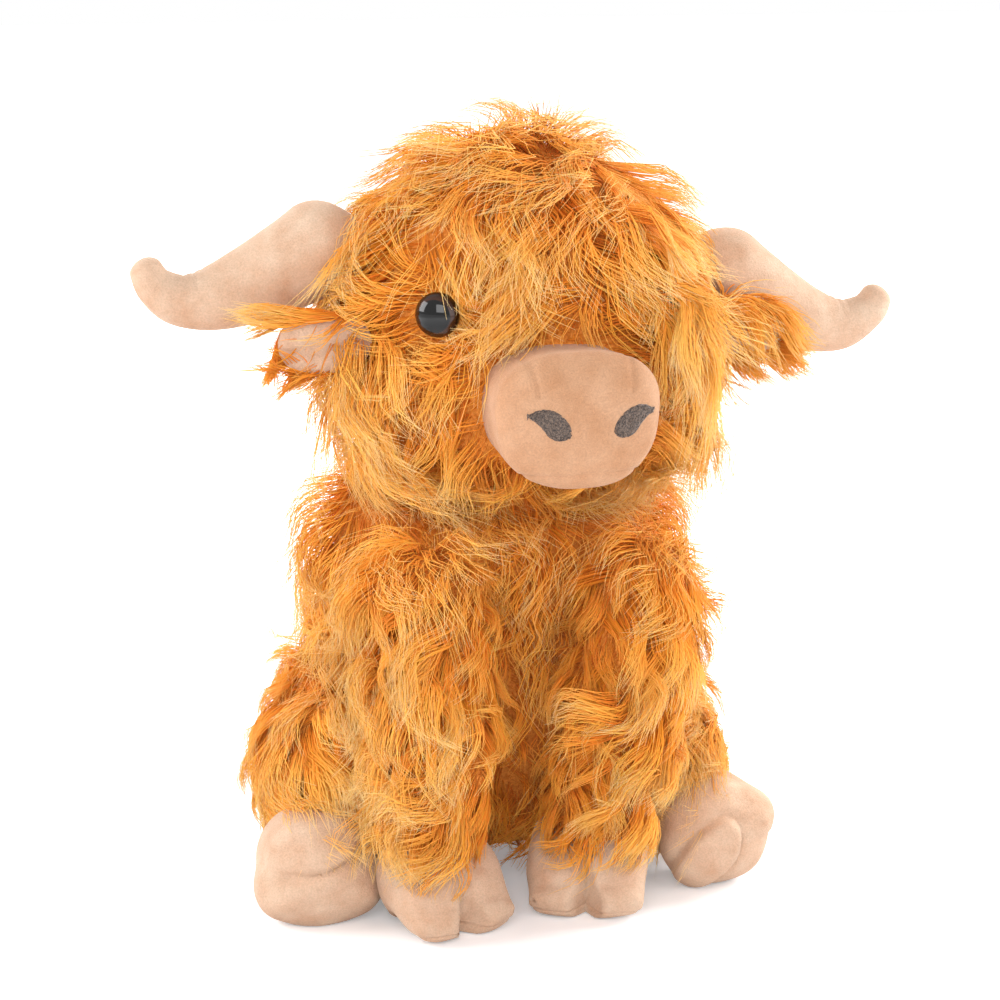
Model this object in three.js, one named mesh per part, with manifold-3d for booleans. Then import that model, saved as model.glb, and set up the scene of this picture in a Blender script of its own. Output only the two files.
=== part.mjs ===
// A seated long-haired cow as a stuffed toy: fur covers over fibre filling, with horns, muzzle and
// hooves of short pile, safety eyes held by washers, and a bean bag in the seat.
// Millimetres, +Z up. The cow looks along -Y and its own left is +X.
// The origin is the middle of the flat that it sits on.

import * as THREE from 'three';
import { mergeVertices } from 'three/addons/utils/BufferGeometryUtils.js';
import Module from 'manifold-3d';

const wasm = await Module();
wasm.setup();

// Cloth and fits
const gap = 0.35; // between pieces that touch on the toy
const seamGap = 0.8; // round the ball-shaped ends that turn in their pockets
const furWall = 9; // cover of long fur, its pile pressed down
const pileWall = 3; // cover of short pile
const pressedFlat = 0.5; // how deep a filled form is flattened by what it rests on
const overrun = 20; // how far a cutting shape runs past what it cuts

// Torso, from the seat to the neck at equal steps
const torso = {
  height: 172,
  halfWidth: 73,
  halfDepth: 58,
  lean: 34, // how far the neck end stands ahead of the seat
  bottomRound: 16,
  topRound: 12,
  widthShares: [0.78, 0.81, 0.82, 0.81, 0.79, 0.83, 0.97, 0.97, 0.8],
  depthShares: [0.8, 0.84, 0.92, 0.98, 1.0, 0.97, 0.9, 0.81, 0.68],
  leanShares: [0, -0.06, -0.06, 0.03, 0.15, 0.32, 0.56, 0.8, 1.0],
  waistShare: 0.82, // of the half width: the widest below the shoulders, where the thighs lie
};

// Bean bag in the seat
const beanBag = { halfWidth: 38, halfDepth: 34, halfHeight: 13, lift: 1 };

// Neck: a ball of filling that the head turns and nods on
const neck = { radius: 36, rise: 2 };

// Head, from the chin to the crown at equal steps
const head = {
  height: 134,
  halfWidth: 71,
  halfDepth: 55,
  sink: 7, // how far the chin reaches below the middle of the neck ball
  forward: 30, // from the neck's middle to the head's
  bottomRound: 24,
  topRound: 45,
  widthShares: [0.7, 0.87, 0.97, 1.0, 1.0, 0.97, 0.9, 0.79, 0.7],
  depthShares: [0.73, 0.87, 0.96, 1.0, 1.0, 0.95, 0.87, 0.78, 0.73],
  leanShares: [0.07, 0.07, 0.03, 0, -0.03, -0.07, -0.1, -0.13, -0.13],
};

// Muzzle, a soft box of short pile set in the face
const muzzle = {
  halfWidth: 30,
  halfHeight: 26,
  length: 44,
  standOut: 24, // ahead of the face
  height: 37, // above the chin
  faceRound: 13,
  backShare: 0.9,
  squareShare: 0.8,
};

// Nostril: a drop-shaped patch of thread let into the muzzle's cover
const nostril = {
  halfLength: 8,
  halfWidth: 5,
  thickness: 1.5,
  sunk: 0.9,
  fromMiddle: 15.5,
  drop: 2,
  turn: 25,
  splay: 14,
};

// Safety eye: a dome with a shank, held by a washer
const eye = {
  radius: 8,
  domeHeight: 5.4,
  rimHeight: 1.4,
  seatDepth: 1.2,
  shankRadius: 2.5,
  shankLength: 15,
  height: 72, // above the chin
  fromMiddle: 43,
  splay: 31,
};
const washer = { radius: 7, thickness: 2.5, setBack: 2.2 };

// Horn, from its root to its tip at equal steps, in the plane across the head
const horn = {
  rootRadius: 17.5,
  tipRound: 6,
  pocketDepth: 8.5,
  height: 90, // above the chin
  behindFace: 61, // from the middle of the head's front to the horn's plane
  reach: 64,
  fall: 17,
  reachShares: [0, 0.28, 0.54, 0.76, 0.92, 1.0],
  fallShares: [0, 0.55, 0.92, 1.0, 0.68, 0.1],
  girthShares: [1.0, 0.87, 0.69, 0.55, 0.43, 0.34],
  throatRadius: 8,
};
const hornSet = { left: { lower: 15, droop: 5 }, right: { lower: 0, droop: 0 } };

// Ear: a fur back and a lining of short pile
const ear = {
  rootRadius: 12,
  halfThickness: 4.5,
  reach: 24, // from the middle of its root to the tip side
  tipRound: 11,
  pocketDepth: 7.5,
  height: 59, // above the chin
  behindFace: 39,
  girthShares: [1.0, 1.06, 1.05, 0.95],
  liningInset: 2,
};

// Front leg, from the shoulder to the ankle at equal steps
const frontLeg = {
  shoulderRadius: 25,
  pocketDepth: 7,
  shoulderHeightShare: 0.756, // of the torso's height
  shoulderFromMiddle: 41,
  leftAnkleFromMiddle: 25,
  leftAnkleAhead: 65, // of the seat's middle
  rightAnkleFromMiddle: 35,
  rightAnkleAhead: 72, // the toy stands its right foot a little forward
  bow: 6, // how far the knee stands ahead
  halfWidth: 27,
  halfDepth: 26,
  cuffHeight: 32,
  widthShares: [1.0, 0.92, 0.8], // below the shoulder's ball
  depthShares: [1.0, 0.92, 0.8],
  bowShares: [0, 1.0, 0.8, 0],
  inwardShares: [0, 0.4, 0.75, 1.0],
};

// Front hoof, from the heel to the toes at equal steps
const frontHoof = {
  halfWidth: 23,
  height: 38,
  length: 44,
  heelBehindAnkle: 21,
  heelRound: 13,
  toeRound: 6,
  toeIn: 20,
  widthShares: [0.84, 0.94, 1.0, 1.0, 0.97, 0.9],
  heightShares: [0.92, 1.0, 0.96, 0.7, 0.4, 0.25],
  squareShare: 0.75,
  throatRadius: 10,
};
const cleft = { depth: 10, halfWidth: 6 };

// Hind leg, from its back to its front at equal steps: a thigh that lies along the torso
const hindLeg = {
  halfWidth: 31,
  length: 88,
  rumpBehind: 40, // the seat's middle
  backRound: 36,
  frontRound: 34,
  fromTorso: 3, // from the torso's side to the thigh's middle
  height: 46, // middle of the thigh above the floor
  girthShares: [0.84, 1.0, 0.98, 0.85],
  hipBehind: 28, // the seat's middle
  hipHeight: 30,
};

// Hind hoof, from the ankle to the toes at equal steps
const hindHoof = {
  halfWidth: 22.5,
  halfHeight: 22,
  length: 40,
  ankleRound: 9,
  toeRound: 17,
  fromMiddle: 79,
  toeAhead: 25, // of the thigh's front
  girthShares: [0.86, 0.96, 1.0, 0.97],
  throatRadius: 6,
  throatInward: 9,
  throatShare: 0.65, // of the thigh's length, from its back
  throatRise: 9,
};
const hindCleft = { depth: 10, halfWidth: 3 };
const hindRoll = { left: 38, right: 75 };

// Tail with a tuft of longer fur
const tail = {
  radius: 6,
  height: 44,
  pocketDepth: 4,
  behindShares: [0, 0.62, 0.9, 1.0],
  fallShares: [0, 0.12, 0.5, 1.0],
  behind: 11,
  fall: 22,
};
const tuft = { radius: 9, length: 22, overlap: 3, endShare: 0.6 };

const sides = { left: 1, right: -1 };

// How finely each curved surface is faceted: round it and along it
const facets = {
  torso: { count: 20, steps: 7 },
  head: { count: 20, steps: 4, roundSteps: 4 },
  core: { count: 10, steps: 3, roundSteps: 2 },
  muzzle: { count: 20, steps: 1 },
  muzzleCore: { count: 12, steps: 1, roundSteps: 2 },
  nostril: 4,
  eye: { count: 12, dome: 3 },
  washer: 10,
  horn: { count: 12, steps: 7 },
  ear: { count: 12, steps: 2, roundSteps: 4 },
  frontLeg: { count: 14, steps: 4 },
  frontHoof: { count: 16, steps: 4, roundSteps: 2 },
  thigh: { count: 16, steps: 3 },
  hindHoof: { count: 16, steps: 2 },
  limbCore: { count: 8, steps: 2, roundSteps: 2 },
  hornCore: { count: 8, steps: 4, roundSteps: 2 },
  throat: { count: 8, steps: 1 },
  tail: { count: 10, steps: 5 },
  tuft: { count: 12, steps: 2 },
  socket: { across: 18, around: 12 },
  neckSocket: { across: 24, around: 12 },
  neckBall: { across: 16, around: 10 },
  earSocket: { across: 20, around: 10 },
  tailSocket: { across: 12, around: 8 },
  beanBag: { across: 12, around: 8 },
};

const materials = {
  fur: { color: '#d9913f', roughness: 0.95, metalness: 0 },
  pile: { color: '#d4a78a', roughness: 0.9, metalness: 0 },
  filling: { color: '#f1ede4', roughness: 1, metalness: 0 },
  eyePlastic: { color: '#1b100b', roughness: 0.12, metalness: 0 },
  washerPlastic: { color: '#e9e6de', roughness: 0.5, metalness: 0 },
  thread: { color: '#5a4540', roughness: 0.8, metalness: 0 },
  beanCloth: { color: '#cfc6b4', roughness: 0.9, metalness: 0 },
};

const along = {
  x: new THREE.Vector3(1, 0, 0),
  y: new THREE.Vector3(0, 1, 0),
  z: new THREE.Vector3(0, 0, 1),
};
const degrees = THREE.MathUtils.degToRad;

// A form that swells and tapers along a spine. Its rings are [half across, half through] at equal steps.
class Form {
  constructor({ spine, rings, across, startBall = 0, startRound = 0, endRound = 0, squareShare = 1 }) {
    this.spine = new THREE.CatmullRomCurve3(spine, false, 'catmullrom');
    const ringPoints = rings.map((ring) => new THREE.Vector3(...ring, 0));
    this.rings = new THREE.CatmullRomCurve3(ringPoints, false, 'catmullrom');
    this.length = this.spine.getLength();
    this.across = across;
    this.startBall = startBall;
    this.startRound = startBall || startRound;
    this.endRound = endRound;
    this.squareShare = squareShare;
  }

  // The ring at a share of the spine, which may lie a little past either end
  ringAt(share) {
    const held = THREE.MathUtils.clamp(share, 0, 1);
    const tangent = this.spine.getTangent(held);
    const through = new THREE.Vector3().crossVectors(tangent, this.across).normalize();
    return {
      centre: this.spine.getPoint(held).addScaledVector(tangent, (share - held) * this.length),
      across: new THREE.Vector3().crossVectors(through, tangent),
      through,
      girth: this.rings.getPoint(held),
    };
  }

  // Shares of the spine and of the girth for each ring: rounded ends, with even steps between them
  stations({ steps, roundSteps = 3, inset = 0, startInset = inset, endInset = inset }) {
    const first = (startInset - this.startBall) / this.length;
    const last = 1 - endInset / this.length;
    const startShare = Math.max(this.startRound - inset, 0) / this.length;
    const endShare = Math.max(this.endRound - inset, 0) / this.length;
    const from = first + startShare;
    const to = last - endShare;
    const angles = Array.from({ length: roundSteps - 1 }, (_, i) => ((i + 1) / roundSteps) * (Math.PI / 2));
    const start = angles.map((angle) => [first + startShare * (1 - Math.cos(angle)), Math.sin(angle)]);
    const middle = Array.from({ length: steps + 1 }, (_, i) => [from + (i / steps) * (to - from), 1]);
    const end = angles.map((angle) => [last - endShare * (1 - Math.cos(angle)), Math.sin(angle)]).reverse();
    const list = [...(startShare > 0 ? start : []), ...middle, ...(endShare > 0 ? end : [])];
    return { first, last, list };
  }

  // The closed surface, moved inward by the inset
  geometry(detail) {
    const { first, last, list } = this.stations(detail);
    const { count, inset = 0 } = detail;
    const positions = [...this.ringAt(first).centre.toArray()];
    for (const [share, girthShare] of list) {
      const ring = this.ringAt(share);
      for (let j = 0; j < count; j += 1) {
        const angle = (j / count) * 2 * Math.PI;
        const halfAcross = (ring.girth.x - inset) * girthShare;
        const halfThrough = (ring.girth.y - inset) * girthShare;
        const point = ring.centre.clone();
        point.addScaledVector(ring.across, halfAcross * this.squared(Math.cos(angle)));
        point.addScaledVector(ring.through, halfThrough * this.squared(Math.sin(angle)));
        positions.push(...point.toArray());
      }
    }
    positions.push(...this.ringAt(last).centre.toArray());
    return surface(positions, list.length, count);
  }

  squared(value) {
    return Math.sign(value) * Math.abs(value) ** this.squareShare;
  }

  // Where the form's side lies at a share of the spine, seen along Y or along X
  frontAt(share, x) {
    const { centre, girth } = this.ringAt(share);
    return centre.y - girth.y * Math.sqrt(1 - (x / girth.x) ** 2);
  }

  sideAt(share, y) {
    const { centre, girth } = this.ringAt(share);
    return girth.x * Math.sqrt(1 - ((y - centre.y) / girth.y) ** 2);
  }
}

// Rings of points between two end points, joined into one closed surface
function surface(positions, ringCount, count) {
  const index = [];
  const at = (ring, j) => 1 + ring * count + (j % count);
  const lastPoint = 1 + ringCount * count;
  for (let j = 0; j < count; j += 1) {
    index.push(0, at(0, j + 1), at(0, j));
    for (let ring = 0; ring + 1 < ringCount; ring += 1) {
      index.push(at(ring, j), at(ring + 1, j + 1), at(ring + 1, j));
      index.push(at(ring, j), at(ring, j + 1), at(ring + 1, j + 1));
    }
    index.push(lastPoint, at(ringCount - 1, j), at(ringCount - 1, j + 1));
  }
  const geometry = new THREE.BufferGeometry();
  geometry.setAttribute('position', new THREE.Float32BufferAttribute(positions, 3));
  geometry.setIndex(index);
  return geometry;
}

// Solids for joining and cutting
function solid(geometry) {
  const bare = geometry.clone();
  bare.deleteAttribute('normal');
  bare.deleteAttribute('uv');
  const merged = mergeVertices(bare);
  return new wasm.Manifold(new wasm.Mesh({
    numProp: 3,
    vertProperties: Float32Array.from(merged.attributes.position.array),
    triVerts: Uint32Array.from(merged.index.array),
  }));
}

function ball(radius, centre, facet) {
  const geometry = new THREE.SphereGeometry(radius, facet.across, facet.around);
  return solid(geometry.translate(...centre.toArray()));
}

// A block that fills one side of a plane, for cutting flats
function blockBelow(z, reach) {
  return solid(new THREE.BoxGeometry(reach, reach, reach).translate(0, 0, z - reach / 2));
}

function blockInside(x, side, reach) {
  return solid(new THREE.BoxGeometry(reach, reach, reach).translate(side * (x - reach / 2), 0, 0));
}

function blockAhead(y, reach) {
  return solid(new THREE.BoxGeometry(reach, reach, reach).translate(0, y - reach / 2, 0));
}

const reachOfCuts = (torso.height + head.height) * 4;

// The floor flattens whatever rests on it
const floorCut = blockBelow(0, reachOfCuts);

// Rings of a form from its shares
function girths(widthShares, depthShares, halfWidth, halfDepth) {
  return widthShares.map((share, i) => [share * halfWidth, depthShares[i] * halfDepth]);
}

// Upright forms: torso and head
function uprightForm(part, bottom, base, ahead) {
  const last = part.leanShares.length - 1;
  return new Form({
    spine: part.leanShares.map((share, i) => (
      new THREE.Vector3(0, base.y - share * ahead, bottom + (i / last) * part.height))),
    rings: girths(part.widthShares, part.depthShares, part.halfWidth, part.halfDepth),
    across: along.x,
    startRound: part.bottomRound,
    endRound: part.topRound,
  });
}

const torsoForm = uprightForm(torso, -pressedFlat, { y: 0 }, torso.lean);
const neckMiddle = new THREE.Vector3(0, -torso.lean, torso.height + neck.rise);
const chin = neckMiddle.z - head.sink;
const headForm = uprightForm(head, chin, { y: neckMiddle.y - head.forward }, head.halfDepth);

// Muzzle
const muzzleShare = muzzle.height / head.height;
const faceY = headForm.frontAt(muzzleShare, 0);
const muzzleFront = faceY - muzzle.standOut;
const muzzleZ = chin + muzzle.height;
const muzzleForm = new Form({
  spine: [
    new THREE.Vector3(0, muzzleFront + muzzle.length, muzzleZ),
    new THREE.Vector3(0, muzzleFront, muzzleZ),
  ],
  rings: [
    [muzzle.halfWidth * muzzle.backShare, muzzle.halfHeight * muzzle.backShare],
    [muzzle.halfWidth, muzzle.halfHeight],
  ],
  across: along.x,
  endRound: muzzle.faceRound,
  squareShare: muzzle.squareShare,
});

// The nostril's drop outline: round below, drawn out to a point at its outer upper end
function nostrilOutline(side, grown) {
  const shape = new THREE.Shape();
  const halfWidth = nostril.halfWidth + grown;
  const halfLength = nostril.halfLength + grown;
  shape.moveTo(side * halfLength, halfWidth);
  shape.quadraticCurveTo(side * halfLength, -halfWidth, 0, -halfWidth);
  shape.quadraticCurveTo(-side * halfLength, -halfWidth, -side * halfLength, 0);
  shape.quadraticCurveTo(-side * halfLength, halfWidth, 0, halfWidth);
  shape.closePath();
  return shape;
}

function nostrilSolid(side, grown) {
  const depth = nostril.thickness + grown;
  const make = { depth, bevelEnabled: false, curveSegments: facets.nostril };
  const geometry = new THREE.ExtrudeGeometry(nostrilOutline(side, grown), make);
  const share = nostril.fromMiddle / muzzle.halfWidth;
  const dome = muzzle.faceRound * (1 - Math.sqrt(1 - share ** 2));
  geometry.translate(0, 0, -grown);
  geometry.rotateZ(side * degrees(nostril.turn));
  geometry.rotateX(Math.PI / 2);
  geometry.rotateZ(side * degrees(nostril.splay));
  geometry.translate(side * nostril.fromMiddle, muzzleFront + dome + nostril.sunk, muzzleZ - nostril.drop);
  return solid(geometry);
}

// Safety eye, drawn round its axis and turned to look out of the face
const eyeShare = eye.height / head.height;
const eyeFront = headForm.frontAt(eyeShare, eye.fromMiddle);
const eyeSeat = new THREE.Vector3(eye.fromMiddle, eyeFront, chin + eye.height);

function turned(profile, side, count) {
  const points = profile.map(([radius, height]) => new THREE.Vector2(radius, height));
  const geometry = new THREE.LatheGeometry(points, count);
  geometry.rotateX(Math.PI);
  geometry.rotateZ(side * degrees(eye.splay));
  geometry.translate(side * eyeSeat.x, eyeSeat.y, eyeSeat.z);
  return solid(geometry);
}

function eyeSolid(side, grown) {
  const radius = eye.radius + grown;
  const back = -eye.seatDepth - grown;
  const shankRadius = eye.shankRadius + grown;
  const shankEnd = -eye.seatDepth - eye.shankLength - grown;
  const profile = [[0, shankEnd], [shankRadius, shankEnd], [shankRadius, back], [radius, back]];
  for (let i = 0; i < facets.eye.dome; i += 1) {
    const angle = (i / facets.eye.dome) * (Math.PI / 2);
    profile.push([radius * Math.cos(angle), eye.rimHeight + (eye.domeHeight + grown) * Math.sin(angle)]);
  }
  profile.push([0, eye.rimHeight + eye.domeHeight + grown]);
  return turned(profile, side, facets.eye.count);
}

function washerSolid(side, grown) {
  const front = -furWall - washer.setBack + grown;
  const back = -furWall - washer.setBack - washer.thickness - grown;
  const bore = eye.shankRadius + gap;
  const radius = washer.radius + grown;
  const profile = [[bore, back], [radius, back], [radius, front], [bore, front], [bore, back]];
  return turned(profile, side, facets.washer);
}

// Horns: a ball-shaped root set in a pocket of the head, then a tapering sweep
function hornRoot(side, set) {
  const height = horn.height - set.lower;
  const y = faceY + horn.behindFace;
  const x = headForm.sideAt(height / head.height, y) + horn.rootRadius - horn.pocketDepth;
  return new THREE.Vector3(side * x, y, chin + height);
}

function hornForm(side, set) {
  const root = hornRoot(side, set);
  const droop = degrees(set.droop);
  const spine = horn.reachShares.map((share, i) => {
    const out = share * horn.reach;
    const down = horn.fallShares[i] * horn.fall;
    return new THREE.Vector3(
      root.x + side * (out * Math.cos(droop) - down * Math.sin(droop)),
      root.y,
      root.z - down * Math.cos(droop) - out * Math.sin(droop),
    );
  });
  return new Form({
    spine,
    rings: horn.girthShares.map((share) => [share * horn.rootRadius, share * horn.rootRadius]),
    across: along.y,
    startBall: horn.rootRadius,
    endRound: horn.tipRound,
  });
}

function hornSolid(side, set, detail) {
  return solid(hornForm(side, set).geometry(detail));
}

// The opening in the root through which a horn is filled
function hornThroat(side, set) {
  const length = horn.rootRadius + overrun;
  const radius = horn.throatRadius;
  const geometry = new THREE.CylinderGeometry(radius, radius, length, facets.throat.count);
  geometry.rotateZ(Math.PI / 2);
  geometry.translate(-side * (length / 2), 0, 0);
  return solid(geometry.translate(...hornRoot(side, set).toArray()));
}

// Ears
function earRoot(side) {
  const y = faceY + ear.behindFace;
  const x = headForm.sideAt(ear.height / head.height, y) + ear.rootRadius - ear.pocketDepth;
  return new THREE.Vector3(side * x, y, chin + ear.height);
}

function earSolid(side, inset) {
  const root = earRoot(side);
  const innerEnd = root.clone().addScaledVector(along.x, -side * ear.rootRadius);
  const outerEnd = root.clone().addScaledVector(along.x, side * ear.reach);
  const form = new Form({
    spine: [innerEnd, outerEnd],
    rings: ear.girthShares.map((share) => [share * ear.rootRadius, ear.halfThickness]),
    across: along.z,
    startRound: ear.rootRadius,
    endRound: ear.tipRound,
  });
  return solid(form.geometry({ ...facets.ear, inset }));
}

function earPocket(side) {
  const radius = ear.rootRadius + seamGap;
  const geometry = new THREE.SphereGeometry(radius, facets.earSocket.across, facets.earSocket.around);
  geometry.scale(1, (ear.halfThickness + seamGap) / radius, 1);
  return solid(geometry.translate(...earRoot(side).toArray()));
}

// Front legs
function shoulder(side) {
  const x = frontLeg.shoulderFromMiddle;
  const front = torsoForm.frontAt(frontLeg.shoulderHeightShare, x);
  const y = front - frontLeg.shoulderRadius + frontLeg.pocketDepth;
  return new THREE.Vector3(side * x, y, torso.height * frontLeg.shoulderHeightShare);
}

function ankle(side) {
  const isLeft = side === sides.left;
  const fromMiddle = isLeft ? frontLeg.leftAnkleFromMiddle : frontLeg.rightAnkleFromMiddle;
  const ahead = isLeft ? frontLeg.leftAnkleAhead : frontLeg.rightAnkleAhead;
  return new THREE.Vector3(side * fromMiddle, -ahead, frontLeg.cuffHeight);
}

function frontLegSolid(side, detail) {
  const top = shoulder(side);
  const foot = ankle(side);
  const spine = frontLeg.inwardShares.map((share, i) => {
    const fall = i / (frontLeg.inwardShares.length - 1);
    return new THREE.Vector3(
      top.x + share * (foot.x - top.x),
      top.y + fall * (foot.y - top.y) - frontLeg.bowShares[i] * frontLeg.bow,
      top.z + fall * (foot.z - top.z),
    );
  });
  const form = new Form({
    spine,
    rings: [
      [frontLeg.shoulderRadius, frontLeg.shoulderRadius],
      ...girths(frontLeg.widthShares, frontLeg.depthShares, frontLeg.halfWidth, frontLeg.halfDepth),
    ],
    across: along.x,
    startBall: frontLeg.shoulderRadius,
  });
  return solid(form.geometry(detail));
}

function wedge(cut, toeY, height) {
  const shape = new THREE.Shape();
  shape.moveTo(-cut.halfWidth, toeY);
  shape.lineTo(-cut.halfWidth, toeY - overrun);
  shape.lineTo(cut.halfWidth, toeY - overrun);
  shape.lineTo(cut.halfWidth, toeY);
  shape.lineTo(0, toeY + cut.depth);
  shape.closePath();
  const geometry = new THREE.ExtrudeGeometry(shape, { depth: 2 * height, bevelEnabled: false });
  return geometry.translate(0, 0, -height);
}

function frontHoofSolid(side, detail) {
  const { inset = 0 } = detail;
  const last = frontHoof.heightShares.length - 1;
  const halfHeights = frontHoof.heightShares.map((share) => (share * frontHoof.height + pressedFlat) / 2);
  const form = new Form({
    spine: halfHeights.map((half, i) => (
      new THREE.Vector3(0, frontHoof.heelBehindAnkle - (i / last) * frontHoof.length, half - pressedFlat))),
    rings: halfHeights.map((half, i) => [frontHoof.widthShares[i] * frontHoof.halfWidth, half]),
    across: along.x,
    startRound: frontHoof.heelRound,
    endRound: frontHoof.toeRound,
    squareShare: frontHoof.squareShare,
  });
  const cut = { depth: cleft.depth + inset, halfWidth: cleft.halfWidth + inset };
  const toeY = frontHoof.heelBehindAnkle - frontHoof.length;
  const place = new THREE.Matrix4().makeRotationZ(-side * degrees(frontHoof.toeIn));
  const foot = ankle(side);
  place.setPosition(foot.x, foot.y, 0);
  const body = solid(form.geometry(detail).applyMatrix4(place));
  return body.subtract(solid(wedge(cut, toeY, frontHoof.height).applyMatrix4(place)));
}

function frontThroat(side, grown) {
  const height = frontHoof.height;
  const radius = frontHoof.throatRadius + grown;
  const geometry = new THREE.CylinderGeometry(radius, radius, height, facets.throat.count);
  geometry.rotateX(Math.PI / 2);
  const foot = ankle(side);
  return solid(geometry.translate(foot.x, foot.y, foot.z));
}

// Hind legs
const hipPlane = torso.halfWidth * torso.waistShare + gap;

function thighSolid(side, detail) {
  const last = hindLeg.girthShares.length - 1;
  const x = side * (hipPlane + hindLeg.fromTorso);
  const form = new Form({
    spine: hindLeg.girthShares.map((share, i) => (
      new THREE.Vector3(x, hindLeg.rumpBehind - (i / last) * hindLeg.length, hindLeg.height * share))),
    rings: hindLeg.girthShares.map((share) => (
      [share * hindLeg.halfWidth, share * (hindLeg.height + pressedFlat)])),
    across: along.x,
    startRound: hindLeg.backRound,
    endRound: hindLeg.frontRound,
  });
  return solid(form.geometry(detail))
    .subtract(blockInside(hipPlane + (detail.inset ?? 0), side, reachOfCuts))
    .subtract(floorCut);
}

function hindToe(side) {
  const thighFront = hindLeg.rumpBehind - hindLeg.length;
  const height = hindHoof.halfHeight - pressedFlat;
  return new THREE.Vector3(side * hindHoof.fromMiddle, thighFront - hindHoof.toeAhead, height);
}

function hindHoofSolid(side, roll, detail) {
  const { inset = 0 } = detail;
  const toe = hindToe(side);
  const last = hindHoof.girthShares.length - 1;
  const form = new Form({
    spine: hindHoof.girthShares.map((share, i) => (
      new THREE.Vector3(toe.x, toe.y + (1 - i / last) * hindHoof.length, toe.z))),
    rings: hindHoof.girthShares.map((share) => [share * hindHoof.halfWidth, share * hindHoof.halfHeight]),
    across: along.x,
    startRound: hindHoof.ankleRound,
    endRound: hindHoof.toeRound,
  });
  const cut = { depth: hindCleft.depth + inset, halfWidth: hindCleft.halfWidth + inset };
  const place = new THREE.Matrix4().makeRotationY(degrees(roll));
  place.setPosition(toe.x, toe.y, toe.z);
  const body = solid(form.geometry(detail));
  return body.subtract(solid(wedge(cut, 0, hindHoof.halfHeight + overrun).applyMatrix4(place)));
}

function hindThroat(side, grown) {
  const toe = hindToe(side);
  const ankleEnd = toe.y + hindHoof.length;
  const radius = hindHoof.throatRadius + grown;
  const inThigh = new THREE.Vector3(
    toe.x - side * hindHoof.throatInward,
    hindLeg.rumpBehind - hindHoof.throatShare * hindLeg.length,
    toe.z + hindHoof.throatRise,
  );
  const inHoof = new THREE.Vector3(toe.x, ankleEnd - hindHoof.length / 2, toe.z);
  const rings = [[radius, radius], [radius, radius]];
  const form = new Form({ spine: [inThigh, inHoof], rings, across: along.x });
  return solid(form.geometry(facets.throat));
}

// Tail
const tailShare = tail.height / torso.height;
const tailRing = torsoForm.ringAt(tailShare);
const tailRoot = new THREE.Vector3(
  0,
  tailRing.centre.y + tailRing.girth.y + tail.radius - tail.pocketDepth,
  tail.height,
);

function tailPoint(i) {
  return new THREE.Vector3(
    0,
    tailRoot.y + tail.behindShares[i] * tail.behind,
    tailRoot.z - tail.fallShares[i] * tail.fall,
  );
}

function tailSolid() {
  const form = new Form({
    spine: tail.behindShares.map((share, i) => tailPoint(i)),
    rings: tail.behindShares.map(() => [tail.radius, tail.radius]),
    across: along.x,
    startBall: tail.radius,
  });
  return solid(form.geometry(facets.tail));
}

function tuftSolid() {
  const top = tailPoint(tail.fallShares.length - 1);
  const start = top.clone().addScaledVector(along.z, -gap);
  const end = start.clone().addScaledVector(along.z, -tuft.length + tuft.overlap);
  const endRadius = tuft.radius * tuft.endShare;
  const form = new Form({
    spine: [start, end],
    rings: [[tuft.radius, tuft.radius], [endRadius, endRadius]],
    across: along.x,
    startRound: tuft.overlap,
    endRound: endRadius,
  });
  return solid(form.geometry(facets.tuft));
}

// The scene: one group for each thing that moves, standing at its pivot
const cow = new THREE.Group();

function groupAt(pivot) {
  const group = new THREE.Group();
  group.position.copy(pivot);
  cow.add(group);
  return group;
}

function addPiece(group, name, shape, look) {
  const { vertProperties, triVerts } = shape.getMesh();
  const geometry = new THREE.BufferGeometry();
  geometry.setAttribute('position', new THREE.Float32BufferAttribute(vertProperties, 3));
  geometry.setIndex([...triVerts]);
  geometry.translate(...group.position.clone().negate().toArray());
  const flat = geometry.toNonIndexed();
  flat.computeVertexNormals();
  const mesh = new THREE.Mesh(flat, new THREE.MeshStandardMaterial(look));
  mesh.name = name;
  group.add(mesh);
}

const eachSide = (make) => Object.entries(sides).map(([name, side]) => make(name, side));
const cutAll = (shape, cuts) => cuts.reduce((rest, cut) => rest.subtract(cut), shape);

function addTorso() {
  const group = groupAt(new THREE.Vector3());
  const outer = solid(torsoForm.geometry(facets.torso)).subtract(floorCut);
  const pockets = [
    ball(neck.radius + seamGap, neckMiddle, facets.neckSocket),
    ball(tail.radius + seamGap, tailRoot, facets.tailSocket),
    ...eachSide((name, side) => ball(frontLeg.shoulderRadius + seamGap, shoulder(side), facets.socket)),
  ];
  const hollow = solid(torsoForm.geometry({ ...facets.core, inset: furWall }));
  addPiece(group, 'body_cover', cutAll(outer, [hollow, ...pockets]), materials.fur);

  const bagMiddle = furWall + beanBag.lift + beanBag.halfHeight;
  const bag = (grown) => solid(new THREE.SphereGeometry(1, facets.beanBag.across, facets.beanBag.around)
    .scale(beanBag.halfWidth + grown, beanBag.halfDepth + grown, beanBag.halfHeight + grown)
    .translate(0, 0, bagMiddle));
  const core = solid(torsoForm.geometry({ ...facets.core, inset: furWall + gap }));
  addPiece(group, 'body_filling', cutAll(core, [bag(gap), ...pockets]), materials.filling);
  addPiece(group, 'seat_bean_bag', bag(0), materials.beanCloth);
}

function addNeck() {
  const shape = ball(neck.radius, neckMiddle, facets.neckBall);
  addPiece(groupAt(neckMiddle), 'neck_filling', shape, materials.filling);
}

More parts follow.
